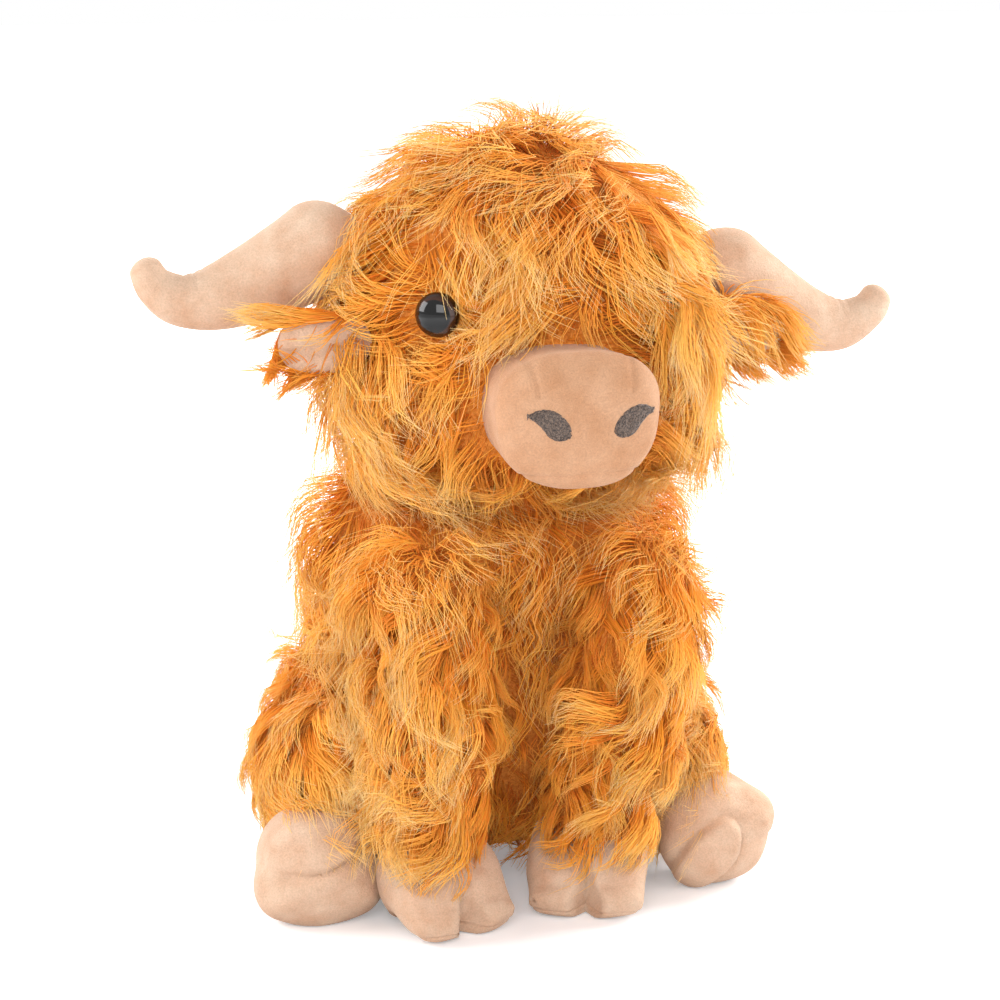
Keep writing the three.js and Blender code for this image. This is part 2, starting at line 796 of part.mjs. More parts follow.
function addHead() {
  const group = groupAt(neckMiddle);
  const outer = solid(headForm.geometry(facets.head));
  const neckPocket = ball(neck.radius + seamGap, neckMiddle, facets.neckSocket);
  const muzzleOpening = solid(muzzleForm.geometry({ ...facets.muzzle, inset: -gap }));
  const pockets = eachSide((name, side) => [
    ball(horn.rootRadius + seamGap, hornRoot(side, hornSet[name]), facets.socket),
    earPocket(side),
    eyeSolid(side, gap),
  ]).flat();
  const hollow = solid(headForm.geometry({ ...facets.core, inset: furWall }));
  const washers = eachSide((name, side) => washerSolid(side, gap));
  const cuts = [neckPocket, muzzleOpening, ...pockets, ...washers];
  addPiece(group, 'head_cover', cutAll(outer, [hollow, ...cuts]), materials.fur);

  const core = solid(headForm.geometry({ ...facets.core, inset: furWall + gap }));
  addPiece(group, 'head_filling', cutAll(core, cuts), materials.filling);
  addMuzzle(group);
  eachSide((name, side) => {
    addPiece(group, `eye_${name}`, eyeSolid(side, 0), materials.eyePlastic);
    addPiece(group, `eye_washer_${name}`, washerSolid(side, 0), materials.washerPlastic);
  });
}

function addMuzzle(group) {
  const outer = solid(muzzleForm.geometry(facets.muzzle));
  const hollow = solid(muzzleForm.geometry({ ...facets.muzzleCore, inset: pileWall, startInset: -gap }));
  const core = solid(muzzleForm.geometry({ ...facets.muzzleCore, inset: pileWall + gap, startInset: 0 }));
  const nostrilPockets = eachSide((name, side) => nostrilSolid(side, gap));
  addPiece(group, 'muzzle_cover', cutAll(outer, [hollow, ...nostrilPockets]), materials.pile);
  addPiece(group, 'muzzle_filling', cutAll(core, nostrilPockets), materials.filling);
  eachSide((name, side) => addPiece(group, `nostril_${name}`, nostrilSolid(side, 0), materials.thread));
}

function addHorn(name, side) {
  const set = hornSet[name];
  const group = groupAt(hornRoot(side, set));
  const outer = hornSolid(side, set, facets.horn);
  const hollow = hornSolid(side, set, { ...facets.hornCore, inset: pileWall });
  const core = hornSolid(side, set, { ...facets.hornCore, inset: pileWall + gap });
  addPiece(group, `horn_cover_${name}`, cutAll(outer, [hollow, hornThroat(side, set)]), materials.pile);
  addPiece(group, `horn_filling_${name}`, core, materials.filling);
}

function addEar(name, side) {
  const root = earRoot(side);
  const group = groupAt(root);
  const lining = earSolid(side, ear.liningInset).intersect(blockAhead(root.y, reachOfCuts));
  const back = earSolid(side, 0).subtract(blockAhead(root.y + gap, reachOfCuts));
  addPiece(group, `ear_cover_${name}`, back, materials.fur);
  addPiece(group, `ear_lining_${name}`, lining, materials.pile);
}

function addFrontLeg(name, side) {
  const group = groupAt(shoulder(side));
  const pocket = ball(frontLeg.shoulderRadius + seamGap / 2, shoulder(side), facets.socket);
  const torsoGrown = solid(torsoForm.geometry({ ...facets.torso, inset: -gap })).subtract(pocket);
  const hoofGrown = frontHoofSolid(side, { ...facets.frontHoof, inset: -gap });
  const outer = frontLegSolid(side, facets.frontLeg).subtract(torsoGrown);
  const hollow = frontLegSolid(side, { ...facets.limbCore, inset: furWall, endInset: -gap });
  const throat = frontThroat(side, gap);
  addPiece(group, `front_leg_cover_${name}`, cutAll(outer, [hollow, hoofGrown, throat]), materials.fur);

  const hoofOuter = frontHoofSolid(side, facets.frontHoof).subtract(floorCut).subtract(torsoGrown);
  const hoofHollow = frontHoofSolid(side, { ...facets.limbCore, inset: pileWall });
  addPiece(group, `front_hoof_cover_${name}`, cutAll(hoofOuter, [hoofHollow, throat]), materials.pile);

  const hoofCore = frontHoofSolid(side, { ...facets.limbCore, inset: pileWall + gap });
  const core = frontLegSolid(side, { ...facets.limbCore, inset: furWall + gap, endInset: 0 });
  const filling = core.subtract(hoofGrown).add(frontThroat(side, 0)).add(hoofCore);
  addPiece(group, `front_leg_filling_${name}`, filling, materials.filling);
}

function addHindLeg(name, side) {
  const group = groupAt(new THREE.Vector3(side * hipPlane, hindLeg.hipBehind, hindLeg.hipHeight));
  const roll = hindRoll[name];
  const hoofGrown = hindHoofSolid(side, roll, { ...facets.hindHoof, inset: -gap });
  const throat = hindThroat(side, gap);
  const outer = thighSolid(side, facets.thigh);
  const hollow = thighSolid(side, { ...facets.core, inset: furWall });
  addPiece(group, `hind_leg_cover_${name}`, cutAll(outer, [hollow, hoofGrown, throat]), materials.fur);

  const hoofOuter = hindHoofSolid(side, roll, facets.hindHoof).subtract(floorCut);
  const hoofHollow = hindHoofSolid(side, roll, { ...facets.limbCore, inset: pileWall });
  addPiece(group, `hind_hoof_cover_${name}`, cutAll(hoofOuter, [hoofHollow, throat]), materials.pile);

  const hoofCore = hindHoofSolid(side, roll, { ...facets.limbCore, inset: pileWall + gap });
  const core = thighSolid(side, { ...facets.core, inset: furWall + gap });
  const filling = core.subtract(hoofGrown).add(hindThroat(side, 0)).add(hoofCore);
  addPiece(group, `hind_leg_filling_${name}`, filling, materials.filling);
}

function addTail() {
  const group = groupAt(tailRoot);
  addPiece(group, 'tail_cover', tailSolid(), materials.fur);
  addPiece(group, 'tail_tuft', tuftSolid(), materials.fur);
}

addTorso();
addNeck();
addHead();
for (const [name, side] of Object.entries(sides)) {
  addHorn(name, side);
  addEar(name, side);
  addFrontLeg(name, side);
  addHindLeg(name, side);
}
addTail();

export default cow;
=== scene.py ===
import bmesh
import bpy
import numpy as np
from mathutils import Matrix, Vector, noise
from mathutils.bvhtree import BVHTree


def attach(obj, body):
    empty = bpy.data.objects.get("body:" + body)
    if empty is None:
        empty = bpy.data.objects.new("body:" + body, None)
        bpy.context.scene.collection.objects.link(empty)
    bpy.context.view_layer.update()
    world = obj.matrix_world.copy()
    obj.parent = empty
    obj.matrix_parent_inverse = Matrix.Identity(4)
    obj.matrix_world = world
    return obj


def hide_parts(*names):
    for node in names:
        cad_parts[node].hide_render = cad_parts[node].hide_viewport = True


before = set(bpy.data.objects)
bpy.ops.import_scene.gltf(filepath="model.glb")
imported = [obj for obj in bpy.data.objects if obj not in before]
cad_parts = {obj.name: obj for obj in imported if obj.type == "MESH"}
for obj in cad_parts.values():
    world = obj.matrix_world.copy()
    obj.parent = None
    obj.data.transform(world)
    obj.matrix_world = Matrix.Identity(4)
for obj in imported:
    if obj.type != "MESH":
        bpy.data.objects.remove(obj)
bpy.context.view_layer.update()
mm = 0.001


# Camera
# The photograph is taken from a little above and from the cow's right, with a long lens that stands 1.1 m
# from the toy.
camera_place = Vector((-268.0, -1027.3, 391.7)) * mm
camera_target = Vector((9.4, 8.0, 144.2)) * mm
camera_data = bpy.data.cameras.new("camera")
camera_data.sensor_width = 36
camera_data.lens = 99
camera = bpy.data.objects.new("camera", camera_data)
camera.location = camera_place
camera.rotation_euler = (camera_target - camera_place).to_track_quat("-Z", "Y").to_euler()
bpy.context.scene.collection.objects.link(camera)
bpy.context.scene.camera = camera
bpy.context.scene.view_settings.view_transform = "Standard"


# Studio light
# A big soft box above the camera on the left and a fill on the right. One at each side and one behind
# give the bright edges that the photograph shows, in a white room.
toy_middle = Vector((0, -0.03, 0.15))


def soft_box(name, place, size, power):
    """A square lamp that faces the toy."""
    data = bpy.data.lights.new(name, "AREA")
    data.shape = "SQUARE"
    data.size = size
    data.energy = power
    box = bpy.data.objects.new(name, data)
    box.location = place
    aim = toy_middle - Vector(place)
    box.rotation_euler = aim.to_track_quat("-Z", "Y").to_euler()
    bpy.context.scene.collection.objects.link(box)


soft_box("key_light", (-0.45, -1.2, 0.75), size=0.7, power=7.9)
soft_box("fill_light", (0.7, -1.1, 0.55), size=0.8, power=4.1)
soft_box("right_light", (0.95, 0.2, 0.6), size=0.6, power=14.5)
soft_box("left_light", (-1.0, 0.1, 0.6), size=0.6, power=8.5)
soft_box("back_light", (-0.1, 1.1, 0.8), size=0.8, power=12.0)


def add(tree, kind, inputs=None, **settings):
    """Adds a node with its settings, and sets or links its inputs."""
    made = tree.nodes.new(kind)
    for key, value in settings.items():
        setattr(made, key, value)
    for key, value in (inputs or {}).items():
        if isinstance(value, bpy.types.Node):
            value = value.outputs[0]
        if isinstance(value, bpy.types.NodeSocket):
            tree.links.new(value, made.inputs[key])
        else:
            made.inputs[key].default_value = value
    return made


def linear(hex_colour):
    """An sRGB hex colour as the linear colour that a shader takes."""
    srgb = np.array([int(hex_colour[i:i + 2], 16) for i in (1, 3, 5)]) / 255
    low, high = srgb / 12.92, ((srgb + 0.055) / 1.055) ** 2.4
    return (*np.where(srgb <= 0.04045, low, high), 1.0)


world = bpy.data.worlds.new("white_room")
bpy.context.scene.world = world
world.use_nodes = True
room = world.node_tree
room.nodes.clear()
path = add(room, "ShaderNodeLightPath")
seen = add(room, "ShaderNodeMath", {0: path.outputs["Is Camera Ray"], 1: path.outputs["Is Glossy Ray"]},
           operation="MAXIMUM")
seen_or_through = add(room, "ShaderNodeMath", {0: seen.outputs[0], 1: path.outputs["Is Transmission Ray"]},
                      operation="MAXIMUM")
room_light = add(room, "ShaderNodeBackground", {"Color": linear("#FFFFFF"), "Strength": 0.5})
room_seen = add(room, "ShaderNodeBackground", {"Color": linear("#FFFFFF"), "Strength": 1.0})
room_mix = add(room, "ShaderNodeMixShader",
               {0: seen_or_through.outputs[0], 1: room_light.outputs[0], 2: room_seen.outputs[0]})
add(room, "ShaderNodeOutputWorld", {"Surface": room_mix.outputs[0]})


# Floor
# A sheet of white card under the toy. It keeps the toy's soft shadow, and further out it is as white as
# the room.
def new_material(name):
    """A material with an empty tree, and that tree."""
    made = bpy.data.materials.new(name)
    made.use_nodes = True
    made.node_tree.nodes.clear()
    return made, made.node_tree


# White card is matt and even to the eye, with a faint tooth
card, tree = new_material("white_card")
card_place = add(tree, "ShaderNodeTexCoord")
grain = add(tree, "ShaderNodeTexNoise",
            {"Vector": card_place.outputs["Object"], "Scale": 400.0, "Detail": 2.0})
card_bump = add(tree, "ShaderNodeBump", {"Height": grain.outputs["Fac"], "Distance": 0.00002})
card_shader = add(tree, "ShaderNodeBsdfPrincipled",
                  {"Base Color": linear("#F4F5F8"), "Roughness": 0.9, "Specular IOR Level": 0.1,
                   "Normal": card_bump.outputs[0]})
card_path = add(tree, "ShaderNodeLightPath")
card_reach = add(tree, "ShaderNodeVectorMath", {0: card_place.outputs["Object"]}, operation="LENGTH")
card_far = add(tree, "ShaderNodeMapRange",
               {"Value": card_reach.outputs["Value"], "From Min": 0.35, "From Max": 0.9,
                "To Min": 0.25, "To Max": 1.0})
card_seen_by = add(tree, "ShaderNodeMath", {0: card_path.outputs["Is Camera Ray"],
                                            1: card_path.outputs["Is Glossy Ray"]}, operation="MAXIMUM")
card_lift = add(tree, "ShaderNodeMath", {0: card_seen_by, 1: card_far}, operation="MULTIPLY")
card_white = add(tree, "ShaderNodeEmission", {"Color": linear("#FFFFFF"), "Strength": card_lift.outputs[0]})
card_seen = add(tree, "ShaderNodeAddShader", {0: card_shader.outputs[0], 1: card_white.outputs[0]})
add(tree, "ShaderNodeOutputMaterial", {"Surface": card_seen.outputs[0]})
bpy.ops.mesh.primitive_plane_add(size=12, location=(0, 0, -0.0003))
floor = bpy.context.object
floor.name = "floor"
floor.data.materials.append(card)


# Torso cover
# A sack of knitted backing with long wavy pile, cut in panels and sewn, filled with fibre and with the
# seat pressed flat. The backing is hardly seen: it is the dark ground between the locks.
def through_points(points, shares):
    """Points of the smooth curve through the given ones, at shares of its run."""
    points = np.asarray(points, float)
    padded = np.vstack([2 * points[0] - points[1], points, 2 * points[-1] - points[-2]])
    place = np.clip(shares, 0, 1) * (len(points) - 1)
    first = np.minimum(place.astype(int), len(points) - 2)
    w = (place - first)[:, None]
    before, a, b, after = (padded[first + k] for k in range(4))
    slope_a, slope_b = (b - before) / 2, (after - a) / 2
    return ((2 * w**3 - 3 * w**2 + 1) * a + (w**3 - 2 * w**2 + w) * slope_a
            + (3 * w**2 - 2 * w**3) * b + (w**3 - w**2) * slope_b)


def new_piece(name, verts, faces):
    """A smooth piece, put in the scene."""
    mesh = bpy.data.meshes.new(name)
    mesh.from_pydata(verts, [], faces)
    mesh.shade_smooth()
    made = bpy.data.objects.new(name, mesh)
    bpy.context.scene.collection.objects.link(made)
    return made


def form(name, spine, girths, across, start_round=0.0, end_round=0.0, start_ball=0.0, inset=0.0,
         square=1.0, count=56, steps=44, round_steps=12, end_blunt=1.0):
    """A closed soft form that swells and tapers along a spine; girths are [half across, half through]."""
    spine, girths = np.asarray(spine, float), np.asarray(girths, float)
    run = through_points(spine, np.linspace(0, 1, 400))
    length = np.linalg.norm(np.diff(run, axis=0), axis=1).sum()
    start_round = start_ball or start_round
    first, last = (inset - start_ball) / length, 1 - inset / length
    start_share, end_share = max(start_round - inset, 0) / length, max(end_round - inset, 0) / length
    angles = np.arange(1, round_steps) / round_steps * np.pi / 2
    shares = [np.linspace(first + start_share, last - end_share, steps + 1)]
    swell = [np.ones(steps + 1)]
    if start_share:
        shares.insert(0, first + start_share * (1 - np.cos(angles)))
        swell.insert(0, np.sin(angles))
    if end_share:
        shares.append((last - end_share * (1 - np.cos(angles)))[::-1])
        swell.append(np.sin(angles)[::-1] ** end_blunt)
    shares, swell = np.concatenate(shares), np.concatenate(swell)

    def frame_at(at):
        held = np.clip(at, 0, 1)
        after, before = (through_points(spine, np.clip(held + step, 0, 1)) for step in (1e-4, -1e-4))
        tangent = after - before
        tangent /= np.linalg.norm(tangent, axis=1)[:, None]
        centre = through_points(spine, held) + tangent * ((at - held) * length)[:, None]
        through = np.cross(tangent, across)
        through /= np.linalg.norm(through, axis=1)[:, None]
        return centre, np.cross(through, tangent), through, through_points(girths, held)

    centre, side, through, girth = frame_at(shares)
    turn = np.arange(count) / count * 2 * np.pi
    cos = np.sign(np.cos(turn)) * np.abs(np.cos(turn)) ** square
    sin = np.sign(np.sin(turn)) * np.abs(np.sin(turn)) ** square
    half = (girth - inset) * swell[:, None]
    rings = (centre[:, None] + side[:, None] * (half[:, :1] * cos)[..., None]
             + through[:, None] * (half[:, 1:] * sin)[..., None])
    ends = frame_at(np.array([first, last]))[0]
    verts = np.vstack([ends[:1], rings.reshape(-1, 3), ends[1:]])
    faces = []
    ring_count = len(shares)
    for j in range(count):
        k = (j + 1) % count
        faces.append((0, 1 + k, 1 + j))
        for r in range(ring_count - 1):
            ring = 1 + r * count
            faces.append((ring + j, ring + k, ring + count + k, ring + count + j))
        last_ring = 1 + (ring_count - 1) * count
        faces.append((len(verts) - 1, last_ring + j, last_ring + k))
    return new_piece(name, verts, faces)


def points_of(piece):
    """The piece's points and outward normals as arrays."""
    mesh = piece.data
    points = np.zeros(len(mesh.vertices) * 3)
    mesh.vertices.foreach_get("co", points)
    normals = np.zeros(len(mesh.vertices) * 3)
    mesh.vertex_normals.foreach_get("vector", normals)
    return points.reshape(-1, 3), normals.reshape(-1, 3)


def set_points(piece, points):
    piece.data.vertices.foreach_set("co", points.ravel())


def rising(values, start, span):
    """0 up to the start, and from there a straight rise to 1 over the span."""
    return np.clip((values - start) / span, 0, 1)


def fading(distance, width):
    """1 in the middle, falling away smoothly about the width."""
    return np.exp(-(distance / width) ** 2)


def distance_to(points, place):
    return np.linalg.norm(points - place, axis=1)


def surface_of(mesh):
    """A mesh in the form in which its nearest point is found."""
    return BVHTree.FromPolygons([v.co for v in mesh.vertices], [tuple(p.vertices) for p in mesh.polygons])


def dye(ramp, *stops):
    """Gives a colour ramp its stops, each a place and an sRGB hex colour."""
    elements = ramp.color_ramp.elements
    for element, (place, colour) in zip((elements[0], elements[1]), (stops[0], stops[-1])):
        element.position, element.color = place, linear(colour)
    for place, colour in stops[1:-1]:
        elements.new(place).color = linear(colour)


def fur_ground_material():
    """Knitted polyester backing, dyed with the pile: matt and mottled by the roots of the pile on it."""
    ground, tree = new_material("knitted_backing")
    place = add(tree, "ShaderNodeTexCoord").outputs["Object"]
    roots = add(tree, "ShaderNodeTexNoise", {"Vector": place, "Scale": 900.0, "Detail": 4.0})
    tone = add(tree, "ShaderNodeValToRGB", {"Fac": roots.outputs["Fac"]})
    dye(tone, (0.35, "#D07A30"), (0.7, "#F09C48"))
    bump = add(tree, "ShaderNodeBump", {"Height": roots.outputs["Fac"], "Distance": 0.001})
    shader = add(tree, "ShaderNodeBsdfPrincipled",
                 {"Base Color": tone.outputs[0], "Roughness": 0.9, "Specular IOR Level": 0.1,
                  "Normal": bump.outputs[0]})
    add(tree, "ShaderNodeOutputMaterial", {"Surface": shader.outputs[0]})
    return ground


def fur_material():
    """Acrylic pile, dyed golden orange, of fine silky fibres. Deep in the coat its colour is painted shade, a
    darker orange at the roots; towards the tips it pales, partly by the dye and partly as painted light. The
    map's U is the lock and the strand in it, and V runs from root to tip."""
    pile, tree = new_material("acrylic_fur")
    strand = add(tree, "ShaderNodeUVMap", uv_map="OFBake")
    split = add(tree, "ShaderNodeSeparateXYZ", {0: strand})
    shade = add(tree, "ShaderNodeValToRGB", {"Fac": split.outputs["Y"]})
    # From root to tip: painted shade deep in the coat, then the golden dye, and pale tips that are partly
    # painted light
    dye(shade, (0, "#C9691F"), (0.25, "#F2922F"), (0.5, "#FFB048"), (0.78, "#FFC768"), (1, "#FFE2A6"))
    lock_at = add(tree, "ShaderNodeMath", {0: split.outputs["X"], 1: 37.0}, operation="MULTIPLY")
    lock_dye = add(tree, "ShaderNodeTexNoise", {"W": lock_at, "Scale": 1.0, "Detail": 0.0},
                   noise_dimensions="1D")
    strand_at = add(tree, "ShaderNodeMath", {0: split.outputs["X"], 1: 240.0}, operation="MULTIPLY")
    strand_dye = add(tree, "ShaderNodeTexNoise", {"W": strand_at, "Scale": 1.0, "Detail": 0.0},
                     noise_dimensions="1D")
    hue = add(tree, "ShaderNodeMapRange", {"Value": lock_dye, "From Min": 0.3, "From Max": 0.7,
                                           "To Min": 0.492, "To Max": 0.507})
    strand_value = add(tree, "ShaderNodeMapRange", {"Value": strand_dye, "From Min": 0.25, "From Max": 0.75,
                                                    "To Min": 0.93, "To Max": 1.07})
    lock_value = add(tree, "ShaderNodeMapRange", {"Value": lock_dye, "From Min": 0.3, "From Max": 0.7,
                                                  "To Min": 1.06, "To Max": 0.93})
    value = add(tree, "ShaderNodeMath", {0: strand_value, 1: lock_value}, operation="MULTIPLY")
    tuned = add(tree, "ShaderNodeHueSaturation",
                {"Color": shade, "Hue": hue, "Value": value, "Saturation": 1.0})
    gloss = add(tree, "ShaderNodeMapRange", {"Value": strand_dye, "To Min": 0.4, "To Max": 0.6})
    shader = add(tree, "ShaderNodeBsdfPrincipled",
                 {"Base Color": tuned, "Roughness": gloss, "Specular IOR Level": 0.25,
                  "Specular Tint": linear("#FFC880"), "Sheen Weight": 1.0, "Sheen Roughness": 0.45,
                  "Sheen Tint": linear("#FFBC60")})
    add(tree, "ShaderNodeOutputMaterial", {"Surface": shader})
    return pile


backing = fur_ground_material()
fur = fur_material()


def fur_tree():
    """Strands of pile that grow from a skin: they lean to the skin's comb, wave, and gather in locks."""
    tree = bpy.data.node_groups.new("long_fur", "GeometryNodeTree")
    sockets = (("Skin", "NodeSocketGeometry"), ("Strands per square metre", "NodeSocketFloat"),
               ("Locks per square metre", "NodeSocketFloat"), ("Seed", "NodeSocketInt"),
               ("Lock seed", "NodeSocketInt"), ("Tufts per square metre", "NodeSocketFloat"),
               ("Tuft pull", "NodeSocketFloat"), ("Strand radius", "NodeSocketFloat"),
               ("Stand", "NodeSocketFloat"),
               ("Wave height", "NodeSocketFloat"), ("Wave length", "NodeSocketFloat"),
               ("Curl height", "NodeSocketFloat"), ("Tousle", "NodeSocketFloat"),
               ("Lock pull", "NodeSocketFloat"), ("Points along", "NodeSocketInt"),
               ("Fur", "NodeSocketMaterial"))
    for name, kind in sockets:
        tree.interface.new_socket(name=name, in_out="INPUT", socket_type=kind)
    tree.interface.new_socket(name="Strands", in_out="OUTPUT", socket_type="NodeSocketGeometry")
    given = add(tree, "NodeGroupInput").outputs

    # Roots, each with its lock: the nearest of a sparser set of points on the skin. A lock has its tuft in
    # the same way.
    cover = add(tree, "GeometryNodeInputNamedAttribute", {"Name": "cover"}, data_type="FLOAT")
    density = add(tree, "ShaderNodeMath", {0: cover, 1: given["Strands per square metre"]},
                  operation="MULTIPLY")
    roots = add(tree, "GeometryNodeDistributePointsOnFaces",
                {"Mesh": given["Skin"], "Density": density, "Seed": given["Seed"]})
    locks = add(tree, "GeometryNodeDistributePointsOnFaces",
                {"Mesh": given["Skin"], "Density": given["Locks per square metre"],
                 "Seed": given["Lock seed"]})
    here = add(tree, "GeometryNodeInputPosition")
    nearest = add(tree, "GeometryNodeSampleNearest", {"Geometry": locks}, domain="POINT")
    lock_root = add(tree, "GeometryNodeSampleIndex", {"Geometry": locks, "Value": here, "Index": nearest},
                    data_type="FLOAT_VECTOR", domain="POINT")
    tufts = add(tree, "GeometryNodeDistributePointsOnFaces",
                {"Mesh": given["Skin"], "Density": given["Tufts per square metre"],
                 "Seed": given["Lock seed"]})
    nearest_tuft = add(tree, "GeometryNodeSampleNearest",
                       {"Geometry": tufts, "Sample Position": lock_root.outputs[0]}, domain="POINT")
    tuft_root = add(tree, "GeometryNodeSampleIndex",
                    {"Geometry": tufts, "Value": here, "Index": nearest_tuft},
                    data_type="FLOAT_VECTOR", domain="POINT")
    chance = add(tree, "FunctionNodeRandomValue", {"Min": (0, 0, 0), "Max": (1, 1, 1), "Seed": 3},
                 data_type="FLOAT_VECTOR")
    points = roots.outputs["Points"]
    for name, value in (("root", here.outputs[0]), ("out", roots.outputs["Normal"]),
                        ("lock", lock_root.outputs[0]), ("tuft", tuft_root.outputs[0]),
                        ("own", chance.outputs[0])):
        points = add(tree, "GeometryNodeStoreNamedAttribute",
                     {"Geometry": points, "Name": name, "Value": value},
                     data_type="FLOAT_VECTOR", domain="POINT").outputs[0]
    line = add(tree, "GeometryNodeCurvePrimitiveLine", {"End": (0, 0, 0.01)})
    guide = add(tree, "GeometryNodeResampleCurve", {"Curve": line, "Count": given["Points along"]})
    planted = add(tree, "GeometryNodeInstanceOnPoints", {"Points": points, "Instance": guide})
    loose = add(tree, "GeometryNodeRealizeInstances", {"Geometry": planted})
    run_share = add(tree, "GeometryNodeSplineParameter").outputs["Factor"]
    strands = add(tree, "GeometryNodeStoreNamedAttribute",
                  {"Geometry": loose, "Name": "along", "Value": run_share}, data_type="FLOAT", domain="POINT")

    # Rise and lean: a strand stands out of the skin at its root and lies over towards its tip
    along = run_share
    root, out, comb, lock, tuft, own = (
        add(tree, "GeometryNodeInputNamedAttribute", {"Name": name}, data_type="FLOAT_VECTOR").outputs[0]
        for name in ("root", "out", "comb", "lock", "tuft", "own"))
    luck = add(tree, "ShaderNodeSeparateXYZ", {0: own}).outputs
    pile = add(tree, "GeometryNodeInputNamedAttribute", {"Name": "pile"}, data_type="FLOAT")
    lock_chance = add(tree, "ShaderNodeTexWhiteNoise", {"Vector": lock}, noise_dimensions="3D")
    lock_luck = add(tree, "ShaderNodeSeparateXYZ", {0: lock_chance.outputs["Color"]}).outputs
    varied = add(tree, "ShaderNodeMath", {0: luck["X"], 1: 0.4, 2: 0.7}, operation="MULTIPLY_ADD")
    lock_varied = add(tree, "ShaderNodeMath", {0: lock_luck["X"], 1: 0.35, 2: 0.85}, operation="MULTIPLY_ADD")
    strand_share = add(tree, "ShaderNodeMath", {0: varied, 1: lock_varied}, operation="MULTIPLY")
    length = add(tree, "ShaderNodeMath", {0: pile, 1: strand_share}, operation="MULTIPLY")
    flatter = add(tree, "ShaderNodeMath", {0: along, 1: -0.6, 2: 1.0}, operation="MULTIPLY_ADD")
    lift = add(tree, "GeometryNodeInputNamedAttribute", {"Name": "lift"}, data_type="FLOAT")
    stand = add(tree, "ShaderNodeMath", {0: lift, 1: given["Stand"]}, operation="MULTIPLY")
    standing = add(tree, "ShaderNodeMath", {0: along, 1: stand}, operation="MULTIPLY")
    rise = add(tree, "ShaderNodeMath", {0: flatter, 1: standing}, operation="MULTIPLY")
    rise_length = add(tree, "ShaderNodeMath", {0: rise, 1: length}, operation="MULTIPLY")
    raised = add(tree, "ShaderNodeVectorMath", {0: out, "Scale": rise_length}, operation="SCALE")
    bent = add(tree, "ShaderNodeMath", {0: along, 1: 0.45, 2: 0.5}, operation="MULTIPLY_ADD")
    lean = add(tree, "ShaderNodeMath", {0: bent, 1: along}, operation="MULTIPLY")
    lean_length = add(tree, "ShaderNodeMath", {0: lean, 1: length}, operation="MULTIPLY")
    tuft_chance = add(tree, "ShaderNodeTexWhiteNoise", {"Vector": tuft}, noise_dimensions="3D")
    of_lock = add(tree, "ShaderNodeVectorMath", {0: lock_chance.outputs["Color"], "Scale": 0.35},
                  operation="SCALE")
    of_tuft = add(tree, "ShaderNodeVectorMath", {0: tuft_chance.outputs["Color"], "Scale": 0.65},
                  operation="SCALE")
    chances = add(tree, "ShaderNodeVectorMath", {0: of_lock, 1: of_tuft}, operation="ADD")
    aside = add(tree, "ShaderNodeVectorMath", {0: chances, 1: (0.5, 0.5, 0.5)}, operation="SUBTRACT")
    astray = add(tree, "ShaderNodeVectorMath", {0: aside, "Scale": given["Tousle"]}, operation="SCALE")
    tousled = add(tree, "ShaderNodeVectorMath", {0: comb, 1: astray}, operation="ADD")
    across_comb = add(tree, "ShaderNodeVectorMath", {0: tousled, 1: out}, operation="CROSS_PRODUCT")
    across_lock = add(tree, "ShaderNodeVectorMath", {0: across_comb}, operation="NORMALIZE")
    lock_comb = add(tree, "ShaderNodeVectorMath", {0: out, 1: across_lock}, operation="CROSS_PRODUCT")
    leaned = add(tree, "ShaderNodeVectorMath", {0: lock_comb, "Scale": lean_length}, operation="SCALE")

    # Locks: towards its tip a strand gathers to the one line that its lock follows
    gathering = add(tree, "ShaderNodeMath", {0: along, 1: 0.8}, operation="POWER")
    holding = add(tree, "ShaderNodeMath", {0: luck["X"], 1: -0.7, 2: 1.15}, operation="MULTIPLY_ADD",
                  use_clamp=True)
    hold = add(tree, "ShaderNodeMath", {0: holding, 1: given["Lock pull"]}, operation="MULTIPLY")
    gather = add(tree, "ShaderNodeMath", {0: gathering, 1: hold}, operation="MULTIPLY")
    to_lock = add(tree, "ShaderNodeVectorMath", {0: lock, 1: root}, operation="SUBTRACT")
    pulled = add(tree, "ShaderNodeVectorMath", {0: to_lock, "Scale": gather}, operation="SCALE")

    # Tufts: and the locks of a tuft draw together to its middle, so that it ends in a point
    tuft_gather = add(tree, "ShaderNodeMath", {0: along, 1: 1.3}, operation="POWER")
    tuft_share = add(tree, "ShaderNodeMath", {0: tuft_gather, 1: given["Tuft pull"]}, operation="MULTIPLY")
    to_tuft = add(tree, "ShaderNodeVectorMath", {0: tuft, 1: lock}, operation="SUBTRACT")
    bunched = add(tree, "ShaderNodeVectorMath", {0: to_tuft, "Scale": tuft_share}, operation="SCALE")

